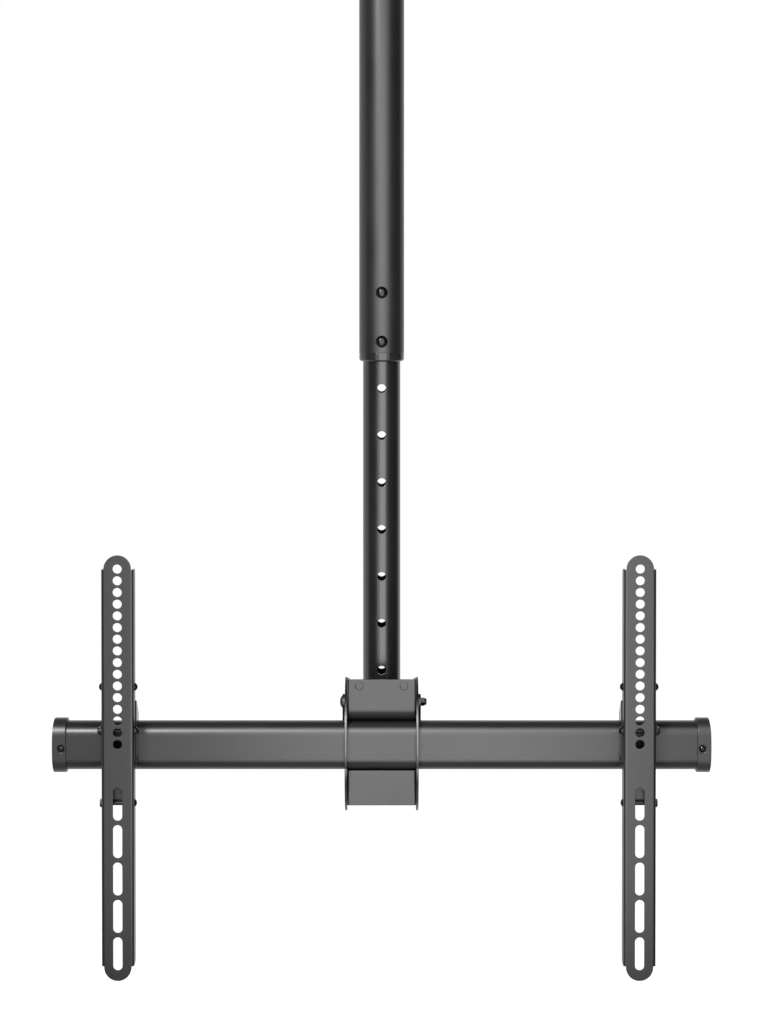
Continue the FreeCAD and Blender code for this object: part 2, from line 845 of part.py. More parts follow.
def tilt_nut():
    return hex_nut("tilt_nut", "+X", EAR_OUTER_X, PIVOT_Y, PIVOT_Z, size("tilt_nut_flats"),
                   size("tilt_nut_height"), size("tilt_bolt_r") + size("thread_gap"), size("tilt_nut_dome"))


# Carriage

def rail_section(sketch, gap):
    """The rail's rounded outline on a YZ sketch, larger all round by the gap."""
    front = RAIL_FRONT_Y - gap
    back = RAIL_BACK_Y + gap
    top = RAIL_TOP + gap
    low = RAIL_LOW - gap
    corner = size("rail_corner") + gap
    inset = corner * ARC_INSET
    outline(sketch, [
        (back - corner, low),
        (back, low + corner, back - inset, low + inset),
        (back, top - corner),
        (back - corner, top, back - inset, top - inset),
        (front + corner, top),
        (front, top - corner, front + inset, top - inset),
        (front, low + corner),
        (front + corner, low, front + inset, low + inset),
    ])


def side_plate(name, x):
    """A D-shaped plate with a window for the rail and a bore for the tilt bolt."""
    body = new_body(name)
    sketch = sketch_on(body, "YZ_Plane", x)
    nose_y = RAIL_FRONT_Y - size("side_nose")
    brow_y = nose_y + size("side_brow_back")
    brow_z = RAIL_TOP - size("side_brow_drop")
    chin_z = RAIL_LOW + size("side_brow_drop")
    arch = (RAIL_FRONT_Y + size("side_arch_back"), RAIL_TOP + size("side_arch_rise"))
    jaw = (RAIL_FRONT_Y + size("side_chin_back"), RAIL_LOW - size("side_chin_drop"))
    top = RAIL_TOP + size("side_top_rise")
    top_y = PIVOT_Y + size("side_top_back")
    low = RAIL_LOW - size("side_low_drop")
    low_y = RAIL_BACK_Y + size("side_low_back")
    tip = size("side_tip_round")
    wide_tip = tip * 2
    outline(sketch, [
        (top_y, top - wide_tip),
        (top_y - wide_tip, top, top_y - wide_tip * ARC_INSET, top - wide_tip * ARC_INSET),
        (brow_y, brow_z, *arch),
        (brow_y, chin_z, nose_y, RAIL_Z),
        (low_y - wide_tip, low, *jaw),
        (low_y, low + wide_tip, low_y - wide_tip * ARC_INSET, low + wide_tip * ARC_INSET),
    ])
    pad(body, sketch, size("side_sheet"))
    window = sketch_on(body, "YZ_Plane", x - size("overshoot"))
    rail_section(window, size("seat_gap"))
    pocket(body, window, size("side_sheet") + size("overshoot") * 2)
    bore = sketch_on(body, "YZ_Plane", x - size("overshoot"))
    circle(bore, PIVOT_Y, PIVOT_Z, size("tilt_bolt_r") + size("pivot_gap"))
    pocket(body, bore, size("side_sheet") + size("overshoot") * 2)
    return body


def saddle():
    """One folded sheet: an upper panel, a wrap round the rail's back and a lower panel."""
    body = new_body("saddle")
    half = SADDLE_HALF
    sheet_t = size("saddle_sheet")
    gap = size("seat_gap")
    front = SADDLE_FRONT_Y
    inner = front + sheet_t
    wrap_top = RAIL_TOP + gap
    wrap_low = RAIL_LOW - gap
    wrap_back = RAIL_BACK_Y + gap
    strip = sketch_on(body, "YZ_Plane", -half)
    outline(strip, [
        (front, SADDLE_TOP),
        (inner, SADDLE_TOP),
        (inner, wrap_top + sheet_t),
        (wrap_back + sheet_t, wrap_top + sheet_t),
        (wrap_back + sheet_t, wrap_low - sheet_t),
        (inner, wrap_low - sheet_t),
        (inner, SADDLE_LOW),
        (front, SADDLE_LOW),
        (front, wrap_low),
        (wrap_back, wrap_low),
        (wrap_back, wrap_top),
        (front, wrap_top),
    ])
    pad(body, strip, half * 2)
    corner = size("saddle_back_bend")

    def along_x_at(y, z):
        return lambda middle, way: abs(way.x) > 0.9 and near(middle.y, y) and near(middle.z, z)

    fillet(body, size("saddle_bend"), along_x_at(front, wrap_top))
    fillet(body, size("saddle_bend") - sheet_t, along_x_at(inner, wrap_top + sheet_t))
    fillet(body, size("saddle_low_bend"), along_x_at(front, wrap_low))
    for z, outer_z in ((wrap_top, wrap_top + sheet_t), (wrap_low, wrap_low - sheet_t)):
        fillet(body, corner, along_x_at(wrap_back, z))
        fillet(body, corner + sheet_t, along_x_at(wrap_back + sheet_t, outer_z))
    upper_low = wrap_top + size("saddle_bend") + gap
    lower_top = wrap_low - size("saddle_low_bend") - sheet_t
    for low, high in ((upper_low, SADDLE_TOP), (SADDLE_LOW, lower_top)):
        for x0, x1 in ((-half, -half + sheet_t), (half - sheet_t, half)):
            fold = sketch_on(body, "XZ_Plane", -front)
            rectangle(fold, x0, x1, low, high)
            pad(body, fold, size("saddle_return"), back=True)
    fillet(body, size("saddle_edge_round"),
           lambda middle, way: abs(way.z) > 0.9 and near(middle.y, front) and near(abs(middle.x), half))
    holes = sketch_on(body, "XZ_Plane", -wrap_back - sheet_t - size("overshoot"))
    for x in (-size("rail_screw_span") / 2, size("rail_screw_span") / 2):
        circle(holes, x, RAIL_Z, size("rail_screw_r") + size("seat_gap"))
    pocket(body, holes, sheet_t + size("overshoot") * 2)
    return body


def tilt_spacer():
    body = new_body("tilt_spacer", None, PIVOT_Y, PIVOT_Z, FACING["+X"])
    sketch = sketch_on(body, "XY_Plane", -size("plate_inner_x"))
    circle(sketch, ZERO, ZERO, size("tilt_bolt_r") + size("spacer_wall"))
    circle(sketch, ZERO, ZERO, size("tilt_bolt_r") + size("pivot_gap"))
    pad(body, sketch, size("plate_inner_x") * 2)
    return body


def rail():
    body = new_body("rail")
    outside = sketch_on(body, "YZ_Plane", -size("rail_half"))
    rail_section(outside, ZERO)
    pad(body, outside, size("rail_half") * 2)
    inside = sketch_on(body, "YZ_Plane", -size("rail_half") - size("overshoot"))
    rail_section(inside, -size("rail_wall"))
    pocket(body, inside, (size("rail_half") + size("overshoot")) * 2)
    front_holes = sketch_on(body, "XZ_Plane", -RAIL_Y)
    for x in (-CAP_SCREW_X, CAP_SCREW_X):
        circle(front_holes, x, CAP_SCREW_Z, size("cap_screw_r") + size("thread_gap"))
    pocket(body, front_holes, size("rail_depth"))
    back_holes = sketch_on(body, "XZ_Plane", -RAIL_Y)
    for x in (-size("rail_screw_span") / 2, size("rail_screw_span") / 2):
        circle(back_holes, x, RAIL_Z, size("rail_screw_r") + size("thread_gap"))
    pocket(body, back_holes, size("rail_depth"), back=True)
    return body


def rail_screws():
    reach = size("saddle_sheet") + size("seat_gap") + size("rail_wall")
    screws = []
    for number, x in enumerate((-size("rail_screw_span") / 2, size("rail_screw_span") / 2), start=1):
        screws.append(button_screw(f"rail_screw_{number}", "+Y", x,
                                   RAIL_BACK_Y + size("seat_gap") + size("saddle_sheet"), RAIL_Z,
                                   size("rail_screw_r"), reach, size("rail_screw_head_r"),
                                   size("rail_screw_head")))
    return group("rail_screws", screws)


def rail_cap(name, side):
    """A moulded cap over the rail's end, with a slightly domed outer face."""
    body = new_body(name)
    wall = size("cap_wall")
    low = RAIL_LOW - wall
    high = RAIL_TOP + wall
    inner_x = (size("rail_half") - size("cap_overlap")) * side
    edge_x = (size("rail_half") + size("cap_end") - size("cap_dome")) * side
    peak_x = (size("rail_half") + size("cap_end")) * side
    front = sketch_on(body, "XZ_Plane", -RAIL_BACK_Y - wall)
    outline(front, [
        (inner_x, low),
        (edge_x, low),
        (edge_x, high, peak_x, RAIL_Z),
        (inner_x, high),
    ])
    pad(body, front, size("rail_depth") + wall * 2)
    fillet(body, size("rail_corner") + wall, lambda middle, way: abs(way.x) > 0.9)
    chamfer_loop(body, size("cap_lead"), inner_x)
    socket = sketch_on(body, "YZ_Plane", size("rail_half") * side)
    rail_section(socket, size("weld_gap"))
    pocket(body, socket, size("rail_half"), back=side > 0)
    counterbore(body, side)
    return body


def counterbore(body, side):
    """Cut the sunk seat of the cap's front screw, and a through hole."""
    gap = size("weld_gap")
    face_y = RAIL_FRONT_Y - size("cap_wall") - gap
    seat_y = RAIL_FRONT_Y - size("cap_seat")
    spin = sketch_on(body, "XY_Plane", CAP_SCREW_Z)
    x = CAP_SCREW_X * side
    outline(spin, [
        (x, face_y),
        (x + size("cap_bore_r"), face_y),
        (x + size("cap_bore_r"), seat_y),
        (x + size("cap_screw_r") + gap, seat_y),
        (x + size("cap_screw_r") + gap, RAIL_FRONT_Y + gap),
        (x, RAIL_FRONT_Y + gap),
    ])
    spin_cut(body, spin, "Edge1")


def rail_cap_screws():
    reach = size("cap_seat") + size("rail_wall")
    seat_y = RAIL_FRONT_Y - size("cap_seat")
    screws = []
    for name, side in (("left", -1), ("right", 1)):
        screws.append(button_screw(f"{name}_cap_screw", "-Y", CAP_SCREW_X * side, seat_y, CAP_SCREW_Z,
                                   size("cap_screw_r"), reach, size("cap_screw_head_r"),
                                   size("cap_screw_head")))
    return group("rail_cap_screws", screws)


# Arms: each is modelled about its own centre plane and placed along the rail

def arm(name, x):
    body = new_body(name, x)
    half = size("arm_width") / 2
    tongue_r = size("arm_tongue") / 2
    plate = sketch_on(body, "XZ_Plane", -ARM_BACK_Y)
    stadium(plate, ZERO, ARM_LOW + tongue_r, ARM_TOP - tongue_r, tongue_r)
    pad(body, plate, size("arm_sheet"))
    channel_low = ARM_LOW + size("arm_flange_inset")
    channel_length = ARM_TOP - ARM_LOW - size("arm_flange_inset") * 2
    channel = sketch_on(body, "XY_Plane", channel_low)
    back = ARM_FACE_Y + size("arm_depth")
    outline(channel, [
        (-half, ARM_FACE_Y),
        (half, ARM_FACE_Y),
        (half, back),
        (half - size("arm_sheet"), back),
        (half - size("arm_sheet"), ARM_BACK_Y),
        (-half + size("arm_sheet"), ARM_BACK_Y),
        (-half + size("arm_sheet"), back),
        (-half, back),
    ])
    pad(body, channel, channel_length)
    fillet(body, size("arm_bend"),
           lambda middle, way: abs(way.z) > 0.9 and near(abs(middle.x), half) and near(middle.y, ARM_FACE_Y))
    fillet(body, size("arm_flange_round"), lambda middle, way: abs(way.x) > 0.9 and near(middle.y, back))
    hole = sketch_on(body, "XZ_Plane", -ARM_BACK_Y)
    hole_z = ARM_TOP - size("arm_hole_drop")
    circle(hole, ZERO, hole_z, size("arm_hole_r"))
    cut = pocket(body, hole, size("arm_sheet"))
    pattern(body, cut, hole, "V_Axis", size("arm_hole_pitch"), size("arm_hole_count"), back=True)
    slot = sketch_on(body, "XZ_Plane", -ARM_BACK_Y)
    slot_r = size("arm_slot_width") / 2
    reach = size("arm_slot_length") / 2 - slot_r
    slot_z = ARM_LOW + size("arm_slot_rise")
    stadium(slot, ZERO, slot_z - reach, slot_z + reach, slot_r)
    cut = pocket(body, slot, size("arm_sheet"))
    pattern(body, cut, slot, "V_Axis", size("arm_slot_pitch"), size("arm_slot_count"))
    cross_holes(body, -half, half, (BOLT_TOP_Z, BOLT_MID_Z, BOLT_LOW_Z))
    return body


def cross_holes(body, start, end, heights, pinned=False):
    """Drill the cross bolts' holes along X, and the pin's hole."""
    drilled = sketch_on(body, "YZ_Plane", start - size("overshoot"))
    for z in heights:
        circle(drilled, BOLT_Y, z, size("arm_bolt_r") + size("seat_gap"))
    if pinned:
        circle(drilled, PIN_Y, PIN_Z, size("link_pin_r") + size("seat_gap"))
    pocket(body, drilled, end - start + size("overshoot") * 2)


def hook_bracket(name, x):
    """A folded bracket: two hook plates over the rail, tied by a web below it."""
    body = new_body(name, x)
    web_front = BOLT_Y + size("arm_bolt_r") + size("hook_web_gap")
    plate_front = ARM_BACK_Y + size("seat_gap")
    plate_top = BOLT_TOP_Z + size("hook_rise")
    foot = BOLT_LOW_Z - size("hook_foot")
    hook_back = RAIL_BACK_Y + size("hook_back")
    relief = RAIL_FRONT_Y - size("hook_relief")
    web = sketch_on(body, "YZ_Plane", -HOOK_OUTER_X)
    rectangle(web, web_front, web_front + size("hook_sheet"), BOLT_LOW_Z, RAIL_Z - size("hook_web_drop"))
    pad(body, web, HOOK_OUTER_X * 2)
    plate = sketch_on(body, "YZ_Plane", HOOK_INNER_X)
    finger_low = RAIL_TOP - size("hook_finger")
    outline(plate, [
        (plate_front, foot),
        (plate_front, plate_top),
        (BOLT_Y + size("hook_rise"), plate_top),
        (RAIL_FRONT_Y, RAIL_TOP + size("hook_shoulder")),
        (hook_back, RAIL_TOP + size("hook_back") / 2,
         RAIL_Y + size("hook_back"), RAIL_TOP + size("hook_shoulder") * 0.75),
        (hook_back, finger_low),
        (RAIL_Y, finger_low),
        (RAIL_Y, RAIL_Z),
        (relief, RAIL_Z),
        (relief, BOLT_LOW_Z),
        (BOLT_Y + size("hook_foot"), foot),
    ])
    side = pad(body, plate, size("hook_sheet"))
    mirrored(body, side, "YZ_Plane")
    window = sketch_on(body, "YZ_Plane", -HOOK_OUTER_X - size("overshoot"))
    rail_section(window, size("free_gap"))
    pocket(body, window, (HOOK_OUTER_X + size("overshoot")) * 2)
    cross_holes(body, -HOOK_OUTER_X, HOOK_OUTER_X, (BOLT_TOP_Z, BOLT_MID_Z, BOLT_LOW_Z), pinned=True)
    return body


def link_plate(name, x, side):
    """An upright plate behind the arm's flange: its top slopes to the back, and a round lug reaches
    forward to the middle bolt."""
    body = new_body(name, x)
    start = size("arm_width") / 2 if side > 0 else -LINK_OUTER_X
    lug = size("link_r")
    high = BOLT_MID_Z + size("link_rise")
    shoulder = BOLT_MID_Z + size("link_shoulder")
    crown = size("link_crown")
    low = BOLT_MID_Z - size("link_drop")
    corner = size("link_corner")
    inset = corner * ARC_INSET
    sketch = sketch_on(body, "YZ_Plane", start)
    outline(sketch, [
        (LINK_FRONT_Y, BOLT_MID_Z + lug),
        (BOLT_Y, BOLT_MID_Z + lug),
        (BOLT_Y, BOLT_MID_Z - lug, BOLT_Y - lug, BOLT_MID_Z),
        (LINK_FRONT_Y, BOLT_MID_Z - lug),
        (LINK_FRONT_Y, low + corner),
        (LINK_FRONT_Y + corner, low, LINK_FRONT_Y + inset, low + inset),
        (LINK_BACK_Y - corner, low),
        (LINK_BACK_Y, low + corner, LINK_BACK_Y - inset, low + inset),
        (LINK_BACK_Y, shoulder),
        (LINK_FRONT_Y, high, PIN_Y + crown, (shoulder + high) / 2 + crown),
    ])
    pad(body, sketch, size("link_sheet"))
    cross_holes(body, start, start + size("link_sheet"), (BOLT_MID_Z,), pinned=True)
    return body


def arm_bolts(name, x, inward):
    """Two cross bolts, heads on the side that looks to the column, and a short bolt in each side above."""
    half = size("arm_width") / 2
    wide = (BOLT_MID_Z, LINK_OUTER_X, size("arm_bolt_head"))
    plain = (BOLT_LOW_Z, half, size("low_bolt_head"))
    bolts = []
    for spot, (z, grip, head) in (("mid", wide), ("low", plain)):
        length = grip * 2 + size("arm_nut_height")
        bolts.append(button_screw(f"{name}_{spot}", "+X" if inward > 0 else "-X", x + grip * inward, BOLT_Y,
                                  z, size("arm_bolt_r"), length, size("arm_bolt_head_r"), head))
    short = half - HOOK_INNER_X + size("arm_nut_height")
    for spot, facing, side in (("top_left", "-X", -1), ("top_right", "+X", 1)):
        bolts.append(button_screw(f"{name}_{spot}", facing, x + half * side, BOLT_Y, BOLT_TOP_Z,
                                  size("arm_bolt_r"), short, size("arm_bolt_head_r"),
                                  size("arm_bolt_head")))
    return group(name, bolts)


def arm_nuts(name, x, inward):
    bore = size("arm_bolt_r") + size("thread_gap")
    spots = [
        ("mid", -inward, LINK_OUTER_X * -inward, BOLT_MID_Z, size("arm_nut_dome")),
        ("low", -inward, size("arm_width") / 2 * -inward, BOLT_LOW_Z, ZERO),
        ("top_left", 1, -HOOK_INNER_X, BOLT_TOP_Z, ZERO),
        ("top_right", -1, HOOK_INNER_X, BOLT_TOP_Z, ZERO),
    ]
    nuts = []
    for spot, way, seat_x, z, dome in spots:
        nuts.append(hex_nut(f"{name}_{spot}", "+X" if way > 0 else "-X", x + seat_x, BOLT_Y, z,
                            size("arm_nut_flats"), size("arm_nut_height"), bore, dome))
    return group(name, nuts)


def link_pin(name, x):
    """A pin riveted over at both ends."""
    body = new_body(name, x, PIN_Y, PIN_Z, FACING["+X"])
    sketch = sketch_on(body, "XZ_Plane")
    reach = LINK_OUTER_X
    tip = reach + size("link_pin_head")
    head_r = size("link_pin_head_r")
    flat_r = head_r * RIVET_FLAT_SHARE
    dome_r = head_r * DOME_SHARE
    dome_x = reach + size("link_pin_head") * RIVET_RISE_SHARE
    outline(sketch, [
        (ZERO, -tip),
        (flat_r, -tip),
        (head_r, -reach, dome_r, -dome_x),
        (size("link_pin_r"), -reach),
        (size("link_pin_r"), reach),
        (head_r, reach),
        (flat_r, tip, dome_r, dome_x),
        (ZERO, tip),
    ])
    revolve(body, sketch)
    return body


# Build every piece

pieces = [
    ceiling_plate(),
    ceiling_socket(),
    swivel_ring(),
    swivel_ring_screws(),
    swivel_washer(),
    outer_column(),
    column_collar(),
    column_end_ring(),
    height_screws(),
    inner_column(),
    mast_guide(),
    mast_plug(),
    yoke(),
    stay("upper_stay", YOKE_TOP - size("stay_inset")),
    stay("lower_stay", YOKE_LOW + size("stay_inset")),
    tilt_bolt(),
    tilt_nut(),
    side_plate("left_side_plate", -SIDE_OUTER_X),
    side_plate("right_side_plate", size("plate_inner_x")),
    saddle(),
    tilt_spacer(),
    rail(),
    rail_screws(),
    rail_cap("left_rail_cap", -1),
    rail_cap("right_rail_cap", 1),
    rail_cap_screws(),
]
for hand, inward in (("left", 1), ("right", -1)):
    arm_x = (size(f"{hand}_arm_inset") - size("rail_half")) * inward
    pieces += [
        arm(f"{hand}_arm", arm_x),
        hook_bracket(f"{hand}_hook_bracket", arm_x),
        link_plate(f"{hand}_arm_inner_link", arm_x, inward),
        link_plate(f"{hand}_arm_outer_link", arm_x, -inward),
        arm_bolts(f"{hand}_arm_bolts", arm_x, inward),
        arm_nuts(f"{hand}_arm_nuts", arm_x, inward),
        link_pin(f"{hand}_link_pin", arm_x),
    ]
doc.recompute()

# Check and write the pieces

for item in doc.Objects:
    if "Invalid" in item.State or "Error" in item.State:
        raise RuntimeError(f"{item.Label} failed: {item.State}")
for piece in pieces:
    if piece.Shape.isNull() or not piece.Shape.isValid() or piece.Shape.Volume <= 0:
        raise RuntimeError(f"{piece.Label} has no sound shape")

os.makedirs("parts", exist_ok=True)
for piece in pieces:
    piece.Shape.exportStep(f"parts/{piece.Label}.step")
    box = piece.Shape.BoundBox
    print(f"{piece.Label}: {len(piece.Shape.Solids)} solids, {piece.Shape.Volume:.0f} mm3, "
          f"X {box.XMin:.1f} to {box.XMax:.1f}, Y {box.YMin:.1f} to {box.YMax:.1f}, "
          f"Z {box.ZMin:.1f} to {box.ZMax:.1f}")
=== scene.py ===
import math

import bmesh
import bpy
from bpy.props import FloatProperty, FloatVectorProperty, IntProperty, PointerProperty
from bpy.types import Operator, Panel, PropertyGroup
from mathutils import Matrix, Vector


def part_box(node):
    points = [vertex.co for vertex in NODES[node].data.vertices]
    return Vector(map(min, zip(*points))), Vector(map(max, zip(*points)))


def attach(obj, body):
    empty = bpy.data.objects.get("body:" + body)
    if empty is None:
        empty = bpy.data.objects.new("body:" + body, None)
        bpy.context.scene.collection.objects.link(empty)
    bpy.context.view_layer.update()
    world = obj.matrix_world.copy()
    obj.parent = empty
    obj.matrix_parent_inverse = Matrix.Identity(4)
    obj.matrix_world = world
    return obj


bl_info = {
    "name": "Telescopic Ceiling Mount",
    "version": (1, 0, 0),
    "blender": (4, 5, 0),
    "location": "View3D > Sidebar > Ceiling Mount",
    "description": "Finishes, welds and fastener details for a telescopic ceiling mount",
    "category": "Object",
}

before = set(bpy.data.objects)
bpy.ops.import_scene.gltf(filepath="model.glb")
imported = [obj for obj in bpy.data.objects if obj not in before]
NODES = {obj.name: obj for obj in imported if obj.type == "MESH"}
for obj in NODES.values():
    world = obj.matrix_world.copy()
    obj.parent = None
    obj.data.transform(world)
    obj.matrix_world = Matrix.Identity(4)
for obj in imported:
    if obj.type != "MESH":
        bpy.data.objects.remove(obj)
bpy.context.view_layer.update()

FOLDED_SHEETS = (
    "saddle", "yoke", "upper_stay", "lower_stay", "left_arm", "right_arm", "left_hook_bracket",
    "right_hook_bracket",
)
SIDE_PLATES = ("left_side_plate", "right_side_plate")
LINKS = ("left_arm_inner_link", "left_arm_outer_link", "right_arm_inner_link", "right_arm_outer_link")
ROOF_PARTS = ("ceiling_plate", "ceiling_socket", "swivel_ring", "column_collar")
MOULDINGS = ("mast_guide", "mast_plug", "left_rail_cap", "right_rail_cap")
FASTENERS = (
    "swivel_ring_screws", "height_screws", "tilt_bolt", "tilt_nut", "tilt_spacer", "rail_screws",
    "rail_cap_screws", "left_arm_bolts", "right_arm_bolts", "left_arm_nuts", "right_arm_nuts",
    "left_link_pin", "right_link_pin",
)

# Tones of a colour: its darker share and its lighter one
PAINT_TONES = (0.82, 1.2)
PLASTIC_TONES = (0.85, 1.2)
STEEL_TONES = (0.85, 1.15)
NYLON_TONES = (0.92, 1.04)
WELD_TONES = (0.7, 1.5)
FLOOR_TONES = (0.95, 0.97)
PAINT_EDGE_TONE = 3.0
STEEL_EDGE_TONE = 2.2
WHITE = (1.0, 1.0, 1.0)

# The range that a noise keeps to for most of its area, its middle, and the wear's narrower range
NOISE_RANGE = (0.3, 0.7)
NOISE_MIDDLE = 0.5
WEAR_RANGE = (0.35, 0.65)
WEAR_SHARES = (0.2, 0.7)

# Likeness of the eased normal to the plain one: where an edge starts, and where it is full
EDGE_RANGE = (0.995, 0.8)
BEVEL_SAMPLES = 6

# Paint: how far its marks change the roughness, the share of each in its height, and its thin edges
PAINT_ROUGHNESS_SPREAD = 0.03
SPECK_ROUGHNESS = 0.05
SPECK_SIZE_SHARE = 0.35
PEEL_HEIGHT_SHARE = 0.8
SPECK_HEIGHT_SHARE = 0.2
THIN_EDGE_SHARE = 0.35
# A rubbed nose with a painted highlight: the normal's Y where the bare, lighter metal that faces the front
# lamps starts, and where it is full
NOSE_SHEEN_RANGE = (-0.75, -0.92)

# Plastic, in metres where it is a size
PLASTIC_CLOUD_SIZE = 0.03
PLASTIC_ROUGHNESS_SPREAD = 0.04
PLASTIC_EDGE_GLOSS = 0.08

# Black-plated steel
STEEL_MOTTLE_SIZE = 0.0025
STEEL_LATHE_SIZE = 0.0006
STEEL_LATHE_DEPTH = 0.00001
STEEL_BUMP_STRENGTH = 0.5
STEEL_METALLIC = 0.92
STEEL_SMOOTHER = 0.04
STEEL_ROUGHER = 0.06

# Nylon
NYLON_CLOUD_SIZE = 0.004
NYLON_ROUGHNESS = (0.4, 0.52)
NYLON_DEPTH = 0.00004
NYLON_BUMP_STRENGTH = 0.5
NYLON_EDGE_ROUND = 0.0003

# Painted weld
WELD_RIPPLE_SIZE = 0.0012
WELD_SOOT_SIZE = 0.006
WELD_ROUGHNESS = (0.34, 0.52)
WELD_DEPTH = 0.00008
WELD_BUMP_STRENGTH = 0.8

# Mesh points closer than this are one point
MERGE_DISTANCE = 1e-7

# A weld bead: sides of its section, its two ripples as shares of the radius, and its narrowed tips
BEAD_SIDES = 8
BEAD_RIPPLE = 0.14
BEAD_DRIFT = 0.05
BEAD_DRIFT_RATE = 1.7
BEAD_TIP = 0.45
# Arc of a stay's bead in degrees, the beads' steps, and the socket bead's share of the usual radius
STAY_BEAD_ARC = (-52, 232)
STAY_BEAD_STEPS = 160
SOCKET_BEAD_STEPS = 220
SOCKET_BEAD_SHARE = 1.2

# A thread: steps to a turn, half widths of root and crest in pitches, its sink and its ends in depths
THREAD_STEPS = 16
THREAD_ROOT = 0.42
THREAD_CREST = 0.06
THREAD_SINK = 0.5
THREAD_END = 0.05

# A spot weld's mark: its skirt's share of the radius, how deep the skirt sinks in metres, its section in
# shares of radius and height, and its steps round
MARK_SKIRT = 1.06
MARK_SINK = 0.0001
MARK_SECTION = ((1.0, 0.55), (0.93, 0.95), (0.8, 1.0), (0.55, 0.72), (0.3, 0.6), (0.02, 0.56))
SPUN_STEPS = 48


# Shader maths

class Field:
    """A socket of a finish's node tree that takes part in arithmetic."""

    def __init__(self, finish, socket):
        self.finish = finish
        self.socket = socket

    def combine(self, operation, first, second):
        return self.finish.node("ShaderNodeMath", {"operation": operation}, {0: first, 1: second})

    def __add__(self, other):
        return self.combine("ADD", self, other)

    def __sub__(self, other):
        return self.combine("SUBTRACT", self, other)

    def __rsub__(self, other):
        return self.combine("SUBTRACT", other, self)

    def __mul__(self, other):
        return self.combine("MULTIPLY", self, other)


class Finish:
    """A material, or the room's light, built node by node."""

    def __init__(self, owner):
        owner.use_nodes = True
        self.owner = owner
        self.tree = owner.node_tree
        self.tree.nodes.clear()

    def node(self, kind, settings=None, inputs=None, output=0):
        made = self.tree.nodes.new(kind)
        for key, value in (settings or {}).items():
            setattr(made, key, value)
        for key, value in (inputs or {}).items():
            if isinstance(value, Field):
                self.tree.links.new(value.socket, made.inputs[key])
            else:
                made.inputs[key].default_value = value
        return Field(self, made.outputs[output])

    def place(self):
        """The point's place on the object, in metres."""
        return self.node("ShaderNodeTexCoord", output="Object")

    def noise(self, size, detail, roughness):
        """Soft spots of the given size in metres, mostly within NOISE_RANGE."""
        return self.node("ShaderNodeTexNoise", {"noise_dimensions": "3D"}, {
            "Vector": self.place(), "Scale": 1 / size, "Detail": detail, "Roughness": roughness})

    def spread(self, value, span, out_low, out_high):
        """Map a value from a span to another range, held at its ends."""
        low, high = span
        return self.node("ShaderNodeMapRange", {"clamp": True}, {
            "Value": value, "From Min": low, "From Max": high, "To Min": out_low, "To Max": out_high})

    def blend(self, mask, first, second):
        return self.node("ShaderNodeMix", {"data_type": "RGBA", "clamp_factor": True}, {
            0: mask, 6: first, 7: second}, output=2)

    def tinted(self, mask, colour, tones):
        """A colour that goes from its darker tone to its lighter one with the mask."""
        darker, lighter = tones
        return self.blend(mask, shade(colour, darker), shade(colour, lighter))

    def eased_normal(self, radius):
        """The surface's direction, turned softly over sharp edges."""
        return self.node("ShaderNodeBevel", {"samples": BEVEL_SAMPLES}, {"Radius": radius})

    def edge_mask(self, eased):
        """One on an eased edge and nought on the flats."""
        plain = self.node("ShaderNodeNewGeometry", output="Normal")
        likeness = self.node("ShaderNodeVectorMath", {"operation": "DOT_PRODUCT"}, {
            0: eased, 1: plain}, output="Value")
        return self.spread(likeness, EDGE_RANGE, 0.0, 1.0)

    def bump(self, height, distance, strength, normal):
        return self.node("ShaderNodeBump", {}, {
            "Height": height, "Distance": distance, "Strength": strength, "Normal": normal})

    def surface(self, **sockets):
        """End the material in one principled surface, whose sockets are given by their names."""
        named = {key.replace("_", " ").title(): value for key, value in sockets.items()}
        named = {"IOR" if key == "Ior" else key: value for key, value in named.items()}
        self.put_out("ShaderNodeOutputMaterial", self.node("ShaderNodeBsdfPrincipled", {}, named))
        return self.owner

    def put_out(self, kind, shader):
        out = self.tree.nodes.new(kind)
        self.tree.links.new(shader.socket, out.inputs["Surface"])


def new_finish(name):
    return Finish(bpy.data.materials.new(name))


def shade(colour, factor):
    """A colour made lighter or darker, with its alpha."""
    return (*(min(1.0, part * factor) for part in colour), 1.0)


# Finishes

def powder_coat(name, coat, roughness, ior, edge_round, rubbed_nose_and_sheen=False):
    """Fine black powder coat: a slight orange peel, with thinner paint along the edges. On a plate with a
    rubbed nose, the edge that looks straight to the front is bare, lighter metal: a rubbed edge, and a
    painted highlight, since it is picked by facing the front lamps."""
    finish = new_finish(name)
    peel = finish.noise(coat.peel_size, detail=2.0, roughness=0.55)
    cloud = finish.noise(coat.cloud_size, detail=3.0, roughness=0.6)
    speck = finish.noise(coat.peel_size * SPECK_SIZE_SHARE, detail=1.0, roughness=0.5)
    eased = finish.eased_normal(edge_round)
    edge = finish.edge_mask(eased)
    body = finish.tinted(cloud, coat.colour, PAINT_TONES)
    body = finish.blend(edge * THIN_EDGE_SHARE, body, shade(coat.colour, PAINT_EDGE_TONE))
    rough = finish.spread(
        cloud, NOISE_RANGE, roughness - PAINT_ROUGHNESS_SPREAD, roughness + PAINT_ROUGHNESS_SPREAD)
    rough = rough + (speck - NOISE_MIDDLE) * SPECK_ROUGHNESS
    height = peel * PEEL_HEIGHT_SHARE + speck * SPECK_HEIGHT_SHARE
    metallic = 0.0
    # Bare, lighter metal where the normal faces the front lamps: a rubbed edge and a painted highlight
    if rubbed_nose_and_sheen:
        ahead = finish.node("ShaderNodeSeparateXYZ", {}, {
            "Vector": finish.node("ShaderNodeTexCoord", output="Normal")}, output="Y")
        metallic = finish.spread(ahead, NOSE_SHEEN_RANGE, 0.0, 1.0)
        body = finish.blend(metallic, body, shade(coat.rubbed_sheen_colour, 1.0))
    return finish.surface(
        base_color=body, roughness=rough, metallic=metallic, ior=ior,
        normal=finish.bump(height, coat.peel_depth, 1.0, eased))


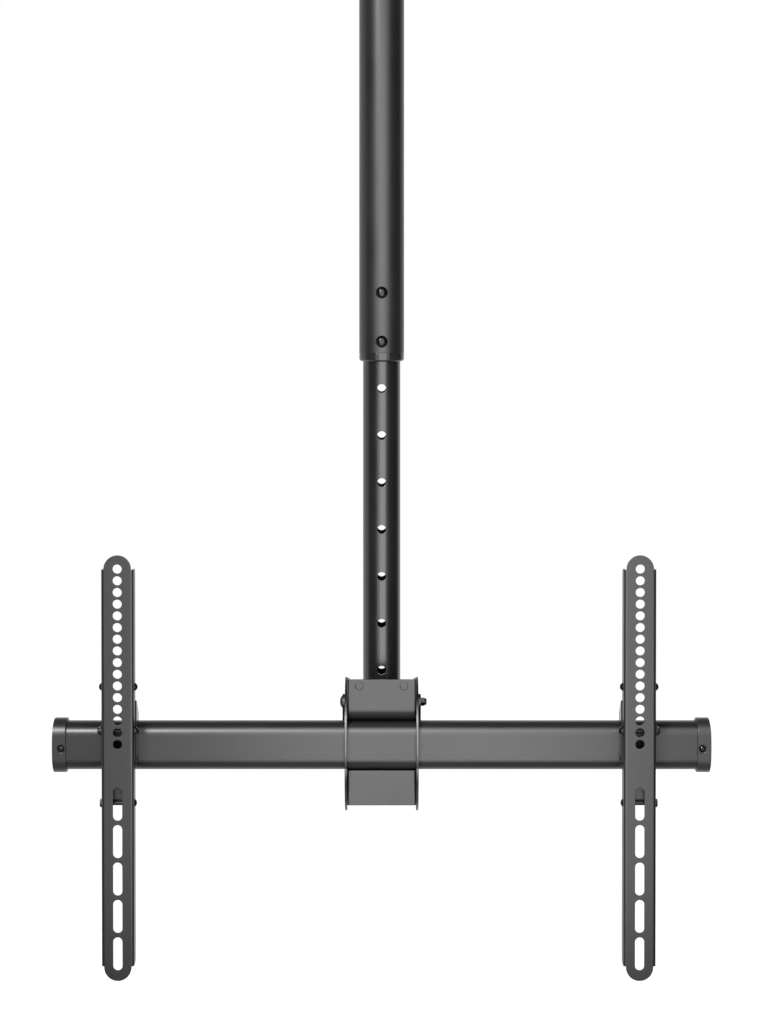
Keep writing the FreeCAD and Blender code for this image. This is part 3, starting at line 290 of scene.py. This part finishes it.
def moulded_plastic(name, plastic, roughness, grain_depth):
    """Black moulded plastic with a fine spark-eroded grain."""
    finish = new_finish(name)
    grain = finish.node("ShaderNodeTexVoronoi", {"feature": "F1"}, {
        "Vector": finish.place(), "Scale": 1 / plastic.grain_size, "Randomness": 1.0}, output="Distance")
    cloud = finish.noise(PLASTIC_CLOUD_SIZE, detail=3.0, roughness=0.6)
    eased = finish.eased_normal(plastic.edge_round)
    edge = finish.edge_mask(eased)
    body = finish.tinted(cloud, plastic.colour, PLASTIC_TONES)
    rough = finish.spread(
        cloud, NOISE_RANGE, roughness - PLASTIC_ROUGHNESS_SPREAD, roughness + PLASTIC_ROUGHNESS_SPREAD)
    return finish.surface(
        base_color=body, roughness=rough - edge * PLASTIC_EDGE_GLOSS,
        normal=finish.bump(grain, grain_depth, 1.0, eased))


def black_zinc(name, fastener):
    """Black-plated screws and nuts: dark and slightly oily, with rubbed edges."""
    finish = new_finish(name)
    eased = finish.eased_normal(fastener.edge_round)
    edge = finish.edge_mask(eased)
    mottle = finish.noise(STEEL_MOTTLE_SIZE, detail=4.0, roughness=0.65)
    lathe = finish.noise(STEEL_LATHE_SIZE, detail=2.0, roughness=0.5)
    worn = finish.spread(mottle, WEAR_RANGE, *WEAR_SHARES) * edge
    body = finish.tinted(mottle, fastener.colour, STEEL_TONES)
    body = finish.blend(worn, body, shade(fastener.colour, STEEL_EDGE_TONE))
    rough = finish.spread(
        mottle, NOISE_RANGE, fastener.roughness - STEEL_SMOOTHER, fastener.roughness + STEEL_ROUGHER)
    return finish.surface(
        base_color=body, roughness=rough, metallic=STEEL_METALLIC,
        normal=finish.bump(lathe, STEEL_LATHE_DEPTH, STEEL_BUMP_STRENGTH, eased))


def pale_nylon(name, colour):
    """Natural nylon sheet, faintly cloudy."""
    finish = new_finish(name)
    cloud = finish.noise(NYLON_CLOUD_SIZE, detail=3.0, roughness=0.6)
    eased = finish.eased_normal(NYLON_EDGE_ROUND)
    return finish.surface(
        base_color=finish.tinted(cloud, colour, NYLON_TONES),
        roughness=finish.spread(cloud, NOISE_RANGE, *NYLON_ROUGHNESS),
        normal=finish.bump(cloud, NYLON_DEPTH, NYLON_BUMP_STRENGTH, eased))


def painted_weld(name, coat):
    """Powder coat over a weld bead: glossier in the ripples' hollows."""
    finish = new_finish(name)
    ripple = finish.noise(WELD_RIPPLE_SIZE, detail=3.0, roughness=0.6)
    soot = finish.noise(WELD_SOOT_SIZE, detail=2.0, roughness=0.5)
    plain = finish.node("ShaderNodeNewGeometry", output="Normal")
    return finish.surface(
        base_color=finish.tinted(soot, coat.colour, WELD_TONES),
        roughness=finish.spread(ripple, NOISE_RANGE, *WELD_ROUGHNESS),
        normal=finish.bump(ripple, WELD_DEPTH, WELD_BUMP_STRENGTH, plain))


def dress(names, material):
    """Give the named nodes one material."""
    for name in names:
        slots = NODES[name].data.materials
        slots.clear()
        slots.append(material)


# Mesh building

def new_piece(name, mesh_maker, material, body):
    """Make a smooth-shaded mesh piece that rides on a body."""
    mesh = bpy.data.meshes.new(name)
    work = bmesh.new()
    mesh_maker(work)
    bmesh.ops.remove_doubles(work, verts=work.verts, dist=MERGE_DISTANCE)
    bmesh.ops.recalc_face_normals(work, faces=work.faces)
    work.to_mesh(mesh)
    work.free()
    for face in mesh.polygons:
        face.use_smooth = True
    mesh.materials.append(material)
    piece = bpy.data.objects.new(name, mesh)
    bpy.context.scene.collection.objects.link(piece)
    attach(piece, body)
    return piece


def loft(work, rings, closed_path=False):
    """Skin a list of closed rings of points and cap the ends of an open one."""
    rows = [[work.verts.new(point) for point in ring] for ring in rings]
    pairs = list(zip(rows, rows[1:]))
    if closed_path:
        pairs.append((rows[-1], rows[0]))
    for one, two in pairs:
        count = len(one)
        for index in range(count):
            after = (index + 1) % count
            work.faces.new((one[index], one[after], two[after], two[index]))
    if not closed_path:
        work.faces.new(rows[0][::-1])
        work.faces.new(rows[-1])


def facing(direction):
    """A turn that carries +Z to the direction."""
    return Vector((0, 0, 1)).rotation_difference(Vector(direction)).to_matrix().to_4x4()


def weld_bead(work, path, radius, pitch, closed=False):
    """A rippled bead along a path of (point, outward) pairs, half sunk in the corner that it fills."""
    length = 0.0
    rings = []
    count = len(path)
    for index, (point, outward) in enumerate(path):
        before = path[index - 1][0] if index or closed else path[0][0]
        after = path[(index + 1) % count][0] if index < count - 1 or closed else path[-1][0]
        along = (after - before).normalized()
        side = along.cross(outward).normalized()
        ripple = 1 + BEAD_RIPPLE * math.sin(2 * math.pi * length / pitch)
        ripple += BEAD_DRIFT * math.sin(length / pitch * BEAD_DRIFT_RATE)
        reach = radius * ripple
        ring = []
        for step in range(BEAD_SIDES):
            turn = 2 * math.pi * step / BEAD_SIDES
            ring.append(point + outward * (math.cos(turn) * reach) + side * (math.sin(turn) * reach))
        rings.append(ring)
        if index < count - 1:
            length += (path[index + 1][0] - point).length
    if not closed:
        rings = [taper(rings[0], BEAD_TIP), *rings[1:-1], taper(rings[-1], BEAD_TIP)]
    loft(work, rings, closed)


def taper(ring, factor):
    """A ring drawn in towards its middle."""
    middle = sum(ring, Vector()) / len(ring)
    return [middle + (point - middle) * factor for point in ring]


def arc_path(centre, radius, start, finish, lift, steps):
    """Points round a vertical axis, each with the diagonal that leads out of the corner."""
    path = []
    for step in range(steps + 1):
        angle = math.radians(start + (finish - start) * step / steps)
        radial = Vector((math.cos(angle), math.sin(angle), 0))
        path.append((centre + radial * radius, (radial + Vector((0, 0, lift))).normalized()))
    return path


def helix(work, place, radius, pitch, start, finish, depth):
    """A screw thread's ridge round the Z axis of the given place."""
    count = int((finish - start) / pitch * THREAD_STEPS)
    rings = []
    for step in range(count + 1):
        angle = 2 * math.pi * step / THREAD_STEPS
        height = start + pitch * step / THREAD_STEPS
        fade = min(1.0, step / THREAD_STEPS, (count - step) / THREAD_STEPS)
        radial = Vector((math.cos(angle), math.sin(angle), 0))
        root = radius - depth * THREAD_SINK
        crest = radius + depth * max(fade, THREAD_END)
        ring = (
            radial * root + Vector((0, 0, height - pitch * THREAD_ROOT)),
            radial * crest + Vector((0, 0, height - pitch * THREAD_CREST)),
            radial * crest + Vector((0, 0, height + pitch * THREAD_CREST)),
            radial * root + Vector((0, 0, height + pitch * THREAD_ROOT)),
        )
        rings.append([place @ point for point in ring])
    loft(work, rings)


def spun(work, place, profile):
    """Turn a profile of (radius, height) points about the Z axis of the given place."""
    rings = []
    for radius, height in profile:
        ring = []
        for step in range(SPUN_STEPS):
            angle = 2 * math.pi * step / SPUN_STEPS
            ring.append(place @ Vector((radius * math.cos(angle), radius * math.sin(angle), height)))
        rings.append(ring)
    loft(work, rings)


# Settings

class CoatSettings(PropertyGroup):
    colour: FloatVectorProperty(
        name="Paint colour", description="Colour of the powder coat", subtype="COLOR",
        default=(0.0062, 0.0062, 0.0065), min=0, max=1)
    # The nose's bare metal, lighter than the paint and set where the plate faces the front lamps: rubbed
    # metal and a painted highlight
    rubbed_sheen_colour: FloatVectorProperty(
        name="Rubbed edge colour", description="Colour of the side plates' rubbed front edges",
        subtype="COLOR", default=(0.075, 0.075, 0.075), min=0, max=1)
    sheet_roughness: FloatProperty(
        name="Sheet roughness", description="How matt the folded sheets and the rail are", default=0.34,
        min=0, max=1)
    column_roughness: FloatProperty(
        name="Column roughness", description="How matt the outer column is", default=0.36, min=0, max=1)
    mast_roughness: FloatProperty(
        name="Mast roughness", description="How matt the sliding inner column is",
        default=0.21, min=0, max=1)
    ior: FloatProperty(
        name="Refraction", description="Index of refraction of the paint", default=1.5, min=1, max=2)
    mast_ior: FloatProperty(
        name="Mast refraction", description="Index of refraction of the inner column's satin paint",
        default=1.56, min=1, max=2)
    peel_size: FloatProperty(
        name="Orange peel size", description="Width of the paint's ripples", subtype="DISTANCE",
        default=0.0022, min=0.0002, max=0.02)
    peel_depth: FloatProperty(
        name="Orange peel depth", description="Height of the paint's ripples", subtype="DISTANCE",
        default=0.000035, min=0, max=0.001)
    cloud_size: FloatProperty(
        name="Cloud size", description="Width of the faint light and dark areas", subtype="DISTANCE",
        default=0.08, min=0.005, max=1)
    edge_round: FloatProperty(
        name="Edge rounding", description="Radius that paint gives a sharp edge", subtype="DISTANCE",
        default=0.0006, min=0, max=0.005)
    plate_round: FloatProperty(
        name="Plate edge rounding", description="Radius of the side plates' edges", subtype="DISTANCE",
        default=0.0011, min=0, max=0.005)


class PlasticSettings(PropertyGroup):
    colour: FloatVectorProperty(
        name="Plastic colour", description="Colour of the moulded plastic", subtype="COLOR",
        default=(0.0085, 0.0085, 0.0090), min=0, max=1)
    roughness: FloatProperty(
        name="Roughness", description="How matt the plastic is", default=0.38, min=0, max=1)
    ring_roughness: FloatProperty(
        name="Ring roughness", description="How matt the outer column's end ring is", default=0.12,
        min=0, max=1)
    grain_size: FloatProperty(
        name="Grain size", description="Width of the mould's grain", subtype="DISTANCE", default=0.0007,
        min=0.0001, max=0.01)
    grain_depth: FloatProperty(
        name="Grain depth", description="Height of the mould's grain", subtype="DISTANCE", default=0.00003,
        min=0, max=0.001)
    ring_grain_depth: FloatProperty(
        name="Ring grain depth", description="Height of the grain on the end ring", subtype="DISTANCE",
        default=0.000006, min=0, max=0.001)
    edge_round: FloatProperty(
        name="Edge rounding", description="Radius of the mould's sharp edges", subtype="DISTANCE",
        default=0.0007, min=0, max=0.005)
    washer_colour: FloatVectorProperty(
        name="Washer colour", description="Colour of the nylon washer", subtype="COLOR",
        default=(0.78, 0.76, 0.70), min=0, max=1)


class FastenerSettings(PropertyGroup):
    colour: FloatVectorProperty(
        name="Steel colour", description="Colour of the black-plated screws and nuts", subtype="COLOR",
        default=(0.024, 0.024, 0.025), min=0, max=1)
    roughness: FloatProperty(
        name="Roughness", description="How matt the screws and nuts are", default=0.17, min=0, max=1)
    edge_round: FloatProperty(
        name="Edge rounding", description="Radius of the fasteners' sharp edges", subtype="DISTANCE",
        default=0.0004, min=0, max=0.003)
    bolt_radius: FloatProperty(
        name="Cross bolt radius", description="Radius of the arms' cross bolts", subtype="DISTANCE",
        default=0.0025, min=0.001, max=0.01)
    bolt_rise: FloatProperty(
        name="Middle bolt rise", description="From the rail's middle up to the arms' middle bolts",
        subtype="DISTANCE", default=0.02185, min=0, max=0.1)
    nut_half: FloatProperty(
        name="Nut half height", description="From a cross bolt's axis to its nut's flat", subtype="DISTANCE",
        default=0.004, min=0.001, max=0.02)
    thread_start: FloatProperty(
        name="Thread start", description="From the arm's outer side to the thread's first ridge",
        subtype="DISTANCE", default=0.0055, min=0, max=0.02)
    thread_length: FloatProperty(
        name="Thread length", description="Length of thread that shows inside an arm", subtype="DISTANCE",
        default=0.006, min=0.001, max=0.03)
    pitch: FloatProperty(
        name="Thread pitch", description="Thread pitch of the cross bolts", subtype="DISTANCE",
        default=0.0008, min=0.0002, max=0.003)
    thread_depth: FloatProperty(
        name="Thread depth", description="Height of a thread's crest", subtype="DISTANCE", default=0.00016,
        min=0, max=0.001)


class WeldSettings(PropertyGroup):
    mark_radius: FloatProperty(
        name="Spot weld radius", description="Radius of the marks on the upper panel", subtype="DISTANCE",
        default=0.0042, min=0.001, max=0.02)
    mark_height: FloatProperty(
        name="Spot weld height", description="How far a mark stands out", subtype="DISTANCE",
        default=0.00035, min=0, max=0.003)
    mark_span: FloatProperty(
        name="Spot weld span", description="Distance between the two marks", subtype="DISTANCE",
        default=0.0465, min=0.01, max=0.2)
    mark_drop: FloatProperty(
        name="Spot weld drop", description="From the panel's top edge down to the marks", subtype="DISTANCE",
        default=0.0068, min=0.001, max=0.05)
    socket_radius: FloatProperty(
        name="Socket radius", description="Radius of the ceiling socket where its bead runs",
        subtype="DISTANCE", default=0.035, min=0.01, max=0.1)
    bead_radius: FloatProperty(
        name="Bead radius", description="Half the width of a weld bead", subtype="DISTANCE", default=0.0017,
        min=0.0005, max=0.01)
    ripple_pitch: FloatProperty(
        name="Ripple pitch", description="Distance between the ripples of a bead", subtype="DISTANCE",
        default=0.0016, min=0.0005, max=0.01)


class StageSettings(PropertyGroup):
    lens: FloatProperty(
        name="Lens", description="Focal length of the camera", subtype="DISTANCE_CAMERA", default=81.20,
        min=10, max=300)
    camera_place: FloatVectorProperty(
        name="Camera place", description="Where the camera stands", subtype="TRANSLATION",
        default=(0.0, -2.4710, -0.4171))
    camera_tilt: FloatProperty(
        name="Camera tilt", description="How far the camera looks down", subtype="ANGLE",
        default=math.radians(1.0))
    shift: FloatVectorProperty(
        name="Lens shift", description="Sideways and upward shift of the lens", size=2,
        default=(-0.0021, -0.1850))
    sensor_width: FloatProperty(
        name="Sensor width", description="Width of the camera's sensor", subtype="DISTANCE_CAMERA",
        default=36.0, min=1, max=100)
    camera_reach: FloatProperty(
        name="Camera reach", description="How far the camera sees", subtype="DISTANCE", default=60.0, min=5)
    softbox_place: FloatVectorProperty(
        name="Softbox place", description="Centre of the front softbox", subtype="TRANSLATION",
        default=(0.07, -0.70, -0.40))
    softbox_size: FloatVectorProperty(
        name="Softbox size", description="Width and height of the front softbox", size=2, unit="LENGTH",
        default=(1.0, 1.75))
    softbox_power: FloatProperty(
        name="Softbox power", description="Power of the front softbox", unit="POWER", default=10.5, min=0)
    core_place: FloatVectorProperty(
        name="Core place", description="Centre of the softbox's bright core", subtype="TRANSLATION",
        default=(0.07, -0.69, -0.64))
    core_size: FloatVectorProperty(
        name="Core size", description="Width and height of the softbox's bright core", size=2, unit="LENGTH",
        default=(0.46, 1.22))
    core_power: FloatProperty(
        name="Core power", description="Power of the softbox's bright core", unit="POWER",
        default=5.4, min=0)
    lamp_place: FloatVectorProperty(
        name="Upper lamp place", description="Centre of the far lamp high on the left",
        subtype="TRANSLATION", default=(-1.7, -4.1, 2.0))
    lamp_aim: FloatVectorProperty(
        name="Upper lamp aim", description="The point of the rail that the upper lamp looks at",
        subtype="TRANSLATION", default=(-0.25, -0.08, -0.9))
    lamp_size: FloatVectorProperty(
        name="Upper lamp size", description="Width and height of the upper lamp", size=2, unit="LENGTH",
        default=(1.0, 1.5))
    lamp_power: FloatProperty(
        name="Upper lamp power", description="Power of the upper lamp", unit="POWER", default=390.0, min=0)
    back_light: FloatProperty(
        name="Backdrop light", description="Brightness of the white backdrop's light", default=0.9, min=0)
    back_top: FloatProperty(
        name="Backdrop top", description="Share of the backdrop's light that comes from high up",
        default=0.25, min=0, max=1)
    back_way: FloatVectorProperty(
        name="Backdrop direction", description="The way to the middle of the backdrop", subtype="XYZ",
        default=(-0.26, 1.0, 0.0))
    back_edge: FloatVectorProperty(
        name="Backdrop edge", description="Where the backdrop starts sideways, and where it is full", size=2,
        default=(0.05, 0.4))
    back_fade: FloatVectorProperty(
        name="Backdrop fade", description="Where the backdrop starts to fade upward, and where it has faded",
        size=2, default=(0.15, 0.6))
    floor_light: FloatProperty(
        name="Floor light", description="Brightness of the floor's light from below", default=0.45, min=0)
    floor_fade: FloatVectorProperty(
        name="Floor fade", description="Where the floor's light starts downward, and where it is full",
        size=2, default=(-0.3, -0.9))
    room_light: FloatProperty(
        name="Room light", description="Brightness of the room in front", default=0.045, min=0)
    floor_drop: FloatProperty(
        name="Floor height", description="Height of the floor, from the ceiling", subtype="DISTANCE",
        default=-2.4)
    floor_radius: FloatProperty(
        name="Floor radius", description="Radius of the round floor", subtype="DISTANCE",
        default=9.0, min=1)
    floor_glow: FloatProperty(
        name="Floor glow", description="Strength of the pale floor's own light", default=0.80, min=0)
    floor_cloud_size: FloatProperty(
        name="Floor cloud size", description="Width of the floor's faint light and dark areas",
        subtype="DISTANCE", default=0.8, min=0.01)
    floor_segments: IntProperty(
        name="Floor segments", description="Sides of the round floor", default=96, min=12, max=512)


# Operators

class MOUNT_OT_paint_sheets(Operator):
    """Powder coat the folded sheets, the side plates, the rail and the ceiling parts"""
    bl_idname = "mount.paint_sheets"
    bl_label = "Paint sheets and rail"

    def execute(self, context):
        coat = context.scene.mount_coat
        material = powder_coat("black_powder_coat", coat, coat.sheet_roughness, coat.ior, coat.edge_round)
        dress(FOLDED_SHEETS + ROOF_PARTS + ("rail",), material)
        # The side plates' noses turn bare and lighter where they face the front lamps: a rubbed edge and a
        # painted highlight
        dress(SIDE_PLATES, powder_coat(
            "rubbed_sheen_powder_coat", coat, coat.sheet_roughness, coat.ior, coat.plate_round, rubbed_nose_and_sheen=True))
        return {"FINISHED"}


class MOUNT_OT_paint_columns(Operator):
    """Paint the outer column and the smoother inner column"""
    bl_idname = "mount.paint_columns"
    bl_label = "Paint columns"

    def execute(self, context):
        coat = context.scene.mount_coat
        for node, name, roughness, ior in (
                ("outer_column", "column_powder_coat", coat.column_roughness, coat.ior),
                ("inner_column", "mast_satin_coat", coat.mast_roughness, coat.mast_ior)):
            dress((node,), powder_coat(name, coat, roughness, ior, coat.edge_round))
        return {"FINISHED"}


class MOUNT_OT_finish_mouldings(Operator):
    """Give the caps, the guide, the plug and the end ring moulded plastic, and the washer its nylon"""
    bl_idname = "mount.finish_mouldings"
    bl_label = "Finish mouldings"

    def execute(self, context):
        plastic = context.scene.mount_plastic
        dress(MOULDINGS, moulded_plastic(
            "grained_black_plastic", plastic, plastic.roughness, plastic.grain_depth))
        dress(("column_end_ring",), moulded_plastic(
            "glossy_black_plastic", plastic, plastic.ring_roughness, plastic.ring_grain_depth))
        dress(("swivel_washer",), pale_nylon("natural_nylon", plastic.washer_colour))
        return {"FINISHED"}


class MOUNT_OT_finish_fasteners(Operator):
    """Plate the screws, bolts, nuts, pins and links black"""
    bl_idname = "mount.finish_fasteners"
    bl_label = "Finish fasteners"

    def execute(self, context):
        dress(FASTENERS + LINKS, black_zinc("black_zinc_steel", context.scene.mount_fastener))
        return {"FINISHED"}


class MOUNT_OT_add_threads(Operator):
    """Lay the thread's ridges on the nut end of each arm's two cross bolts"""
    bl_idname = "mount.add_threads"
    bl_label = "Add threads"

    def execute(self, context):
        fastener = context.scene.mount_fastener
        steel = bpy.data.materials["black_zinc_steel"]
        rail_low, rail_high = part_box("rail")
        rail_z = (rail_low.z + rail_high.z) / 2
        for hand, inward in (("left", 1), ("right", -1)):
            arm_low, arm_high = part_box(f"{hand}_arm")
            nuts_low, nuts_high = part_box(f"{hand}_arm_nuts")
            outer_x = arm_low.x if inward > 0 else arm_high.x
            y = (nuts_low.y + nuts_high.y) / 2
            heights = (nuts_low.z + fastener.nut_half, rail_z + fastener.bolt_rise)

            def threads(work, start=outer_x, depth=y, places=heights, way=inward):
                for z in places:
                    place = Matrix.Translation((start, depth, z)) @ facing((way, 0, 0))
                    helix(work, place, fastener.bolt_radius, fastener.pitch, fastener.thread_start,
                          fastener.thread_start + fastener.thread_length, fastener.thread_depth)

            new_piece(f"{hand}_bolt_threads", threads, steel, f"{hand}_arm_side")
        return {"FINISHED"}


class MOUNT_OT_add_spot_welds(Operator):
    """Raise the two spot weld marks on the carriage's upper panel"""
    bl_idname = "mount.add_spot_welds"
    bl_label = "Add spot welds"

    def execute(self, context):
        weld = context.scene.mount_weld
        paint = bpy.data.materials["black_powder_coat"]
        low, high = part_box("saddle")
        for hand, side in (("left", -1), ("right", 1)):
            spot = Vector((side * weld.mark_span / 2, low.y, high.z - weld.mark_drop))

            def mark(work, place=spot):
                turn = Matrix.Translation(place) @ facing((0, -1, 0))
                skirt = (weld.mark_radius * MARK_SKIRT, -MARK_SINK)
                section = [(weld.mark_radius * out, weld.mark_height * up) for out, up in MARK_SECTION]
                spun(work, turn, [skirt, *section])

            new_piece(f"{hand}_spot_weld", mark, paint, "carriage")
        return {"FINISHED"}


class MOUNT_OT_add_weld_beads(Operator):
    """Lay weld beads where the stays meet the inner column, and round the ceiling socket"""
    bl_idname = "mount.add_weld_beads"
    bl_label = "Add weld beads"

    def execute(self, context):
        weld = context.scene.mount_weld
        material = painted_weld("painted_weld_bead", context.scene.mount_coat)
        mast_low, mast_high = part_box("inner_column")
        mast_r = (mast_high.x - mast_low.x) / 2
        for name in ("upper_stay", "lower_stay"):
            low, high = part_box(name)

            def stay_beads(work, top=high.z, under=low.z):
                for z, lift in ((top, 1), (under, -1)):
                    path = arc_path(Vector((0, 0, z)), mast_r, *STAY_BEAD_ARC, lift, STAY_BEAD_STEPS)
                    weld_bead(work, path, weld.bead_radius, weld.ripple_pitch)

            new_piece(f"{name}_weld", stay_beads, material, "inner_side")
        plate_low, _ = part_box("ceiling_plate")

        def socket_bead(work):
            corner = Vector((0, 0, plate_low.z))
            path = arc_path(corner, weld.socket_radius, 0, 360, -1, SOCKET_BEAD_STEPS)[:-1]
            weld_bead(work, path, weld.bead_radius * SOCKET_BEAD_SHARE, weld.ripple_pitch, closed=True)

        new_piece("socket_weld", socket_bead, material, "ceiling_side")
        return {"FINISHED"}


class MOUNT_OT_set_stage(Operator):
    """Set up the floor, the white backdrop, the lamps and the camera"""
    bl_idname = "mount.set_stage"
    bl_label = "Set the stage"

    def execute(self, context):
        stage = context.scene.mount_stage
        self.lay_floor(context, stage)
        self.light_room(context, stage)
        self.hang_lamps(context, stage)
        self.place_camera(context, stage)
        context.scene.view_settings.view_transform = "Standard"
        return {"FINISHED"}

    def lay_floor(self, context, stage):
        mesh = bpy.data.meshes.new("studio_floor")
        work = bmesh.new()
        bmesh.ops.create_circle(
            work, cap_ends=True, radius=stage.floor_radius, segments=stage.floor_segments)
        work.to_mesh(mesh)
        work.free()
        floor = bpy.data.objects.new("studio_floor", mesh)
        floor.location.z = stage.floor_drop
        context.scene.collection.objects.link(floor)
        finish = new_finish("pale_floor")
        cloud = finish.noise(stage.floor_cloud_size, detail=2.0, roughness=0.5)
        mesh.materials.append(finish.surface(
            base_color=finish.tinted(cloud, WHITE, FLOOR_TONES), roughness=0.9,
            emission_color=shade(WHITE, 1.0), emission_strength=stage.floor_glow))
        floor.visible_glossy = False
        floor.visible_diffuse = False

    def light_room(self, context, stage):
        """White for the camera; for the pieces, a bright backdrop, some floor light and a dim room."""
        world = bpy.data.worlds.new("white_studio")
        room = Finish(world)
        way = room.node("ShaderNodeTexCoord", output="Generated")
        height = room.node("ShaderNodeSeparateXYZ", {}, {"Vector": way}, output="Z")
        behind = room.node("ShaderNodeVectorMath", {"operation": "DOT_PRODUCT"}, {
            0: way, 1: stage.back_way}, output="Value")
        wall = room.spread(behind, stage.back_edge, 0.0, stage.back_light)
        wall = wall * room.spread(height, stage.back_fade, 1.0, stage.back_top)
        floor = room.spread(height, stage.floor_fade, 0.0, stage.floor_light)
        glow = wall + floor + stage.room_light
        seen = room.node("ShaderNodeLightPath", output="Is Camera Ray")
        strength = seen + glow * (1 - seen)
        room.put_out("ShaderNodeOutputWorld", room.node("ShaderNodeBackground", {}, {
            "Color": shade(WHITE, 1.0), "Strength": strength}))
        context.scene.world = world

    def hang_lamps(self, context, stage):
        """A wide front softbox with a brighter core, and a far lamp high on the left."""
        ahead = Vector((0, 1, 0))
        to_rail = (Vector(stage.lamp_aim) - Vector(stage.lamp_place)).normalized()
        for name, place, size, power, way in (
                ("front_softbox", stage.softbox_place, stage.softbox_size, stage.softbox_power, ahead),
                ("softbox_core", stage.core_place, stage.core_size, stage.core_power, ahead),
                ("upper_lamp", stage.lamp_place, stage.lamp_size, stage.lamp_power, to_rail)):
            lamp = bpy.data.lights.new(name, "AREA")
            lamp.shape = "RECTANGLE"
            lamp.size, lamp.size_y = size
            lamp.energy = power
            hung = bpy.data.objects.new(name, lamp)
            hung.location = place
            hung.rotation_euler = way.to_track_quat("-Z", "Y").to_euler()
            hung.visible_camera = False
            context.scene.collection.objects.link(hung)

    def place_camera(self, context, stage):
        lens = bpy.data.cameras.new("photo_camera")
        lens.lens = stage.lens
        lens.sensor_fit = "AUTO"
        lens.sensor_width = stage.sensor_width
        lens.shift_x, lens.shift_y = stage.shift
        lens.clip_end = stage.camera_reach
        camera = bpy.data.objects.new("photo_camera", lens)
        camera.location = stage.camera_place
        camera.rotation_euler = (math.radians(90) - stage.camera_tilt, 0, 0)
        context.scene.collection.objects.link(camera)
        context.scene.camera = camera


class MOUNT_PT_tools(Panel):
    """Buttons for each group of the mount's pieces"""
    bl_idname = "MOUNT_PT_tools"
    bl_label = "Ceiling Mount"
    bl_space_type = "VIEW_3D"
    bl_region_type = "UI"
    bl_category = "Ceiling Mount"

    def draw(self, context):
        for step in STEPS:
            self.layout.operator(step.bl_idname)


STEPS = (
    MOUNT_OT_paint_sheets, MOUNT_OT_paint_columns, MOUNT_OT_finish_mouldings, MOUNT_OT_finish_fasteners,
    MOUNT_OT_add_threads, MOUNT_OT_add_spot_welds, MOUNT_OT_add_weld_beads, MOUNT_OT_set_stage,
)
SETTINGS = {
    "mount_coat": CoatSettings, "mount_plastic": PlasticSettings, "mount_fastener": FastenerSettings,
    "mount_weld": WeldSettings, "mount_stage": StageSettings,
}


def register():
    for name, group in SETTINGS.items():
        bpy.utils.register_class(group)
        setattr(bpy.types.Scene, name, PointerProperty(type=group))
    for step in STEPS:
        bpy.utils.register_class(step)
    bpy.utils.register_class(MOUNT_PT_tools)


def unregister():
    bpy.utils.unregister_class(MOUNT_PT_tools)
    for step in reversed(STEPS):
        bpy.utils.unregister_class(step)
    for name, group in SETTINGS.items():
        delattr(bpy.types.Scene, name)
        bpy.utils.unregister_class(group)


def main():
    register()
    bpy.ops.mount.paint_sheets()
    bpy.ops.mount.paint_columns()
    bpy.ops.mount.finish_mouldings()
    bpy.ops.mount.finish_fasteners()
    bpy.ops.mount.add_threads()
    bpy.ops.mount.add_spot_welds()
    bpy.ops.mount.add_weld_beads()
    bpy.ops.mount.set_stage()


if __name__ == "__main__":
    main()
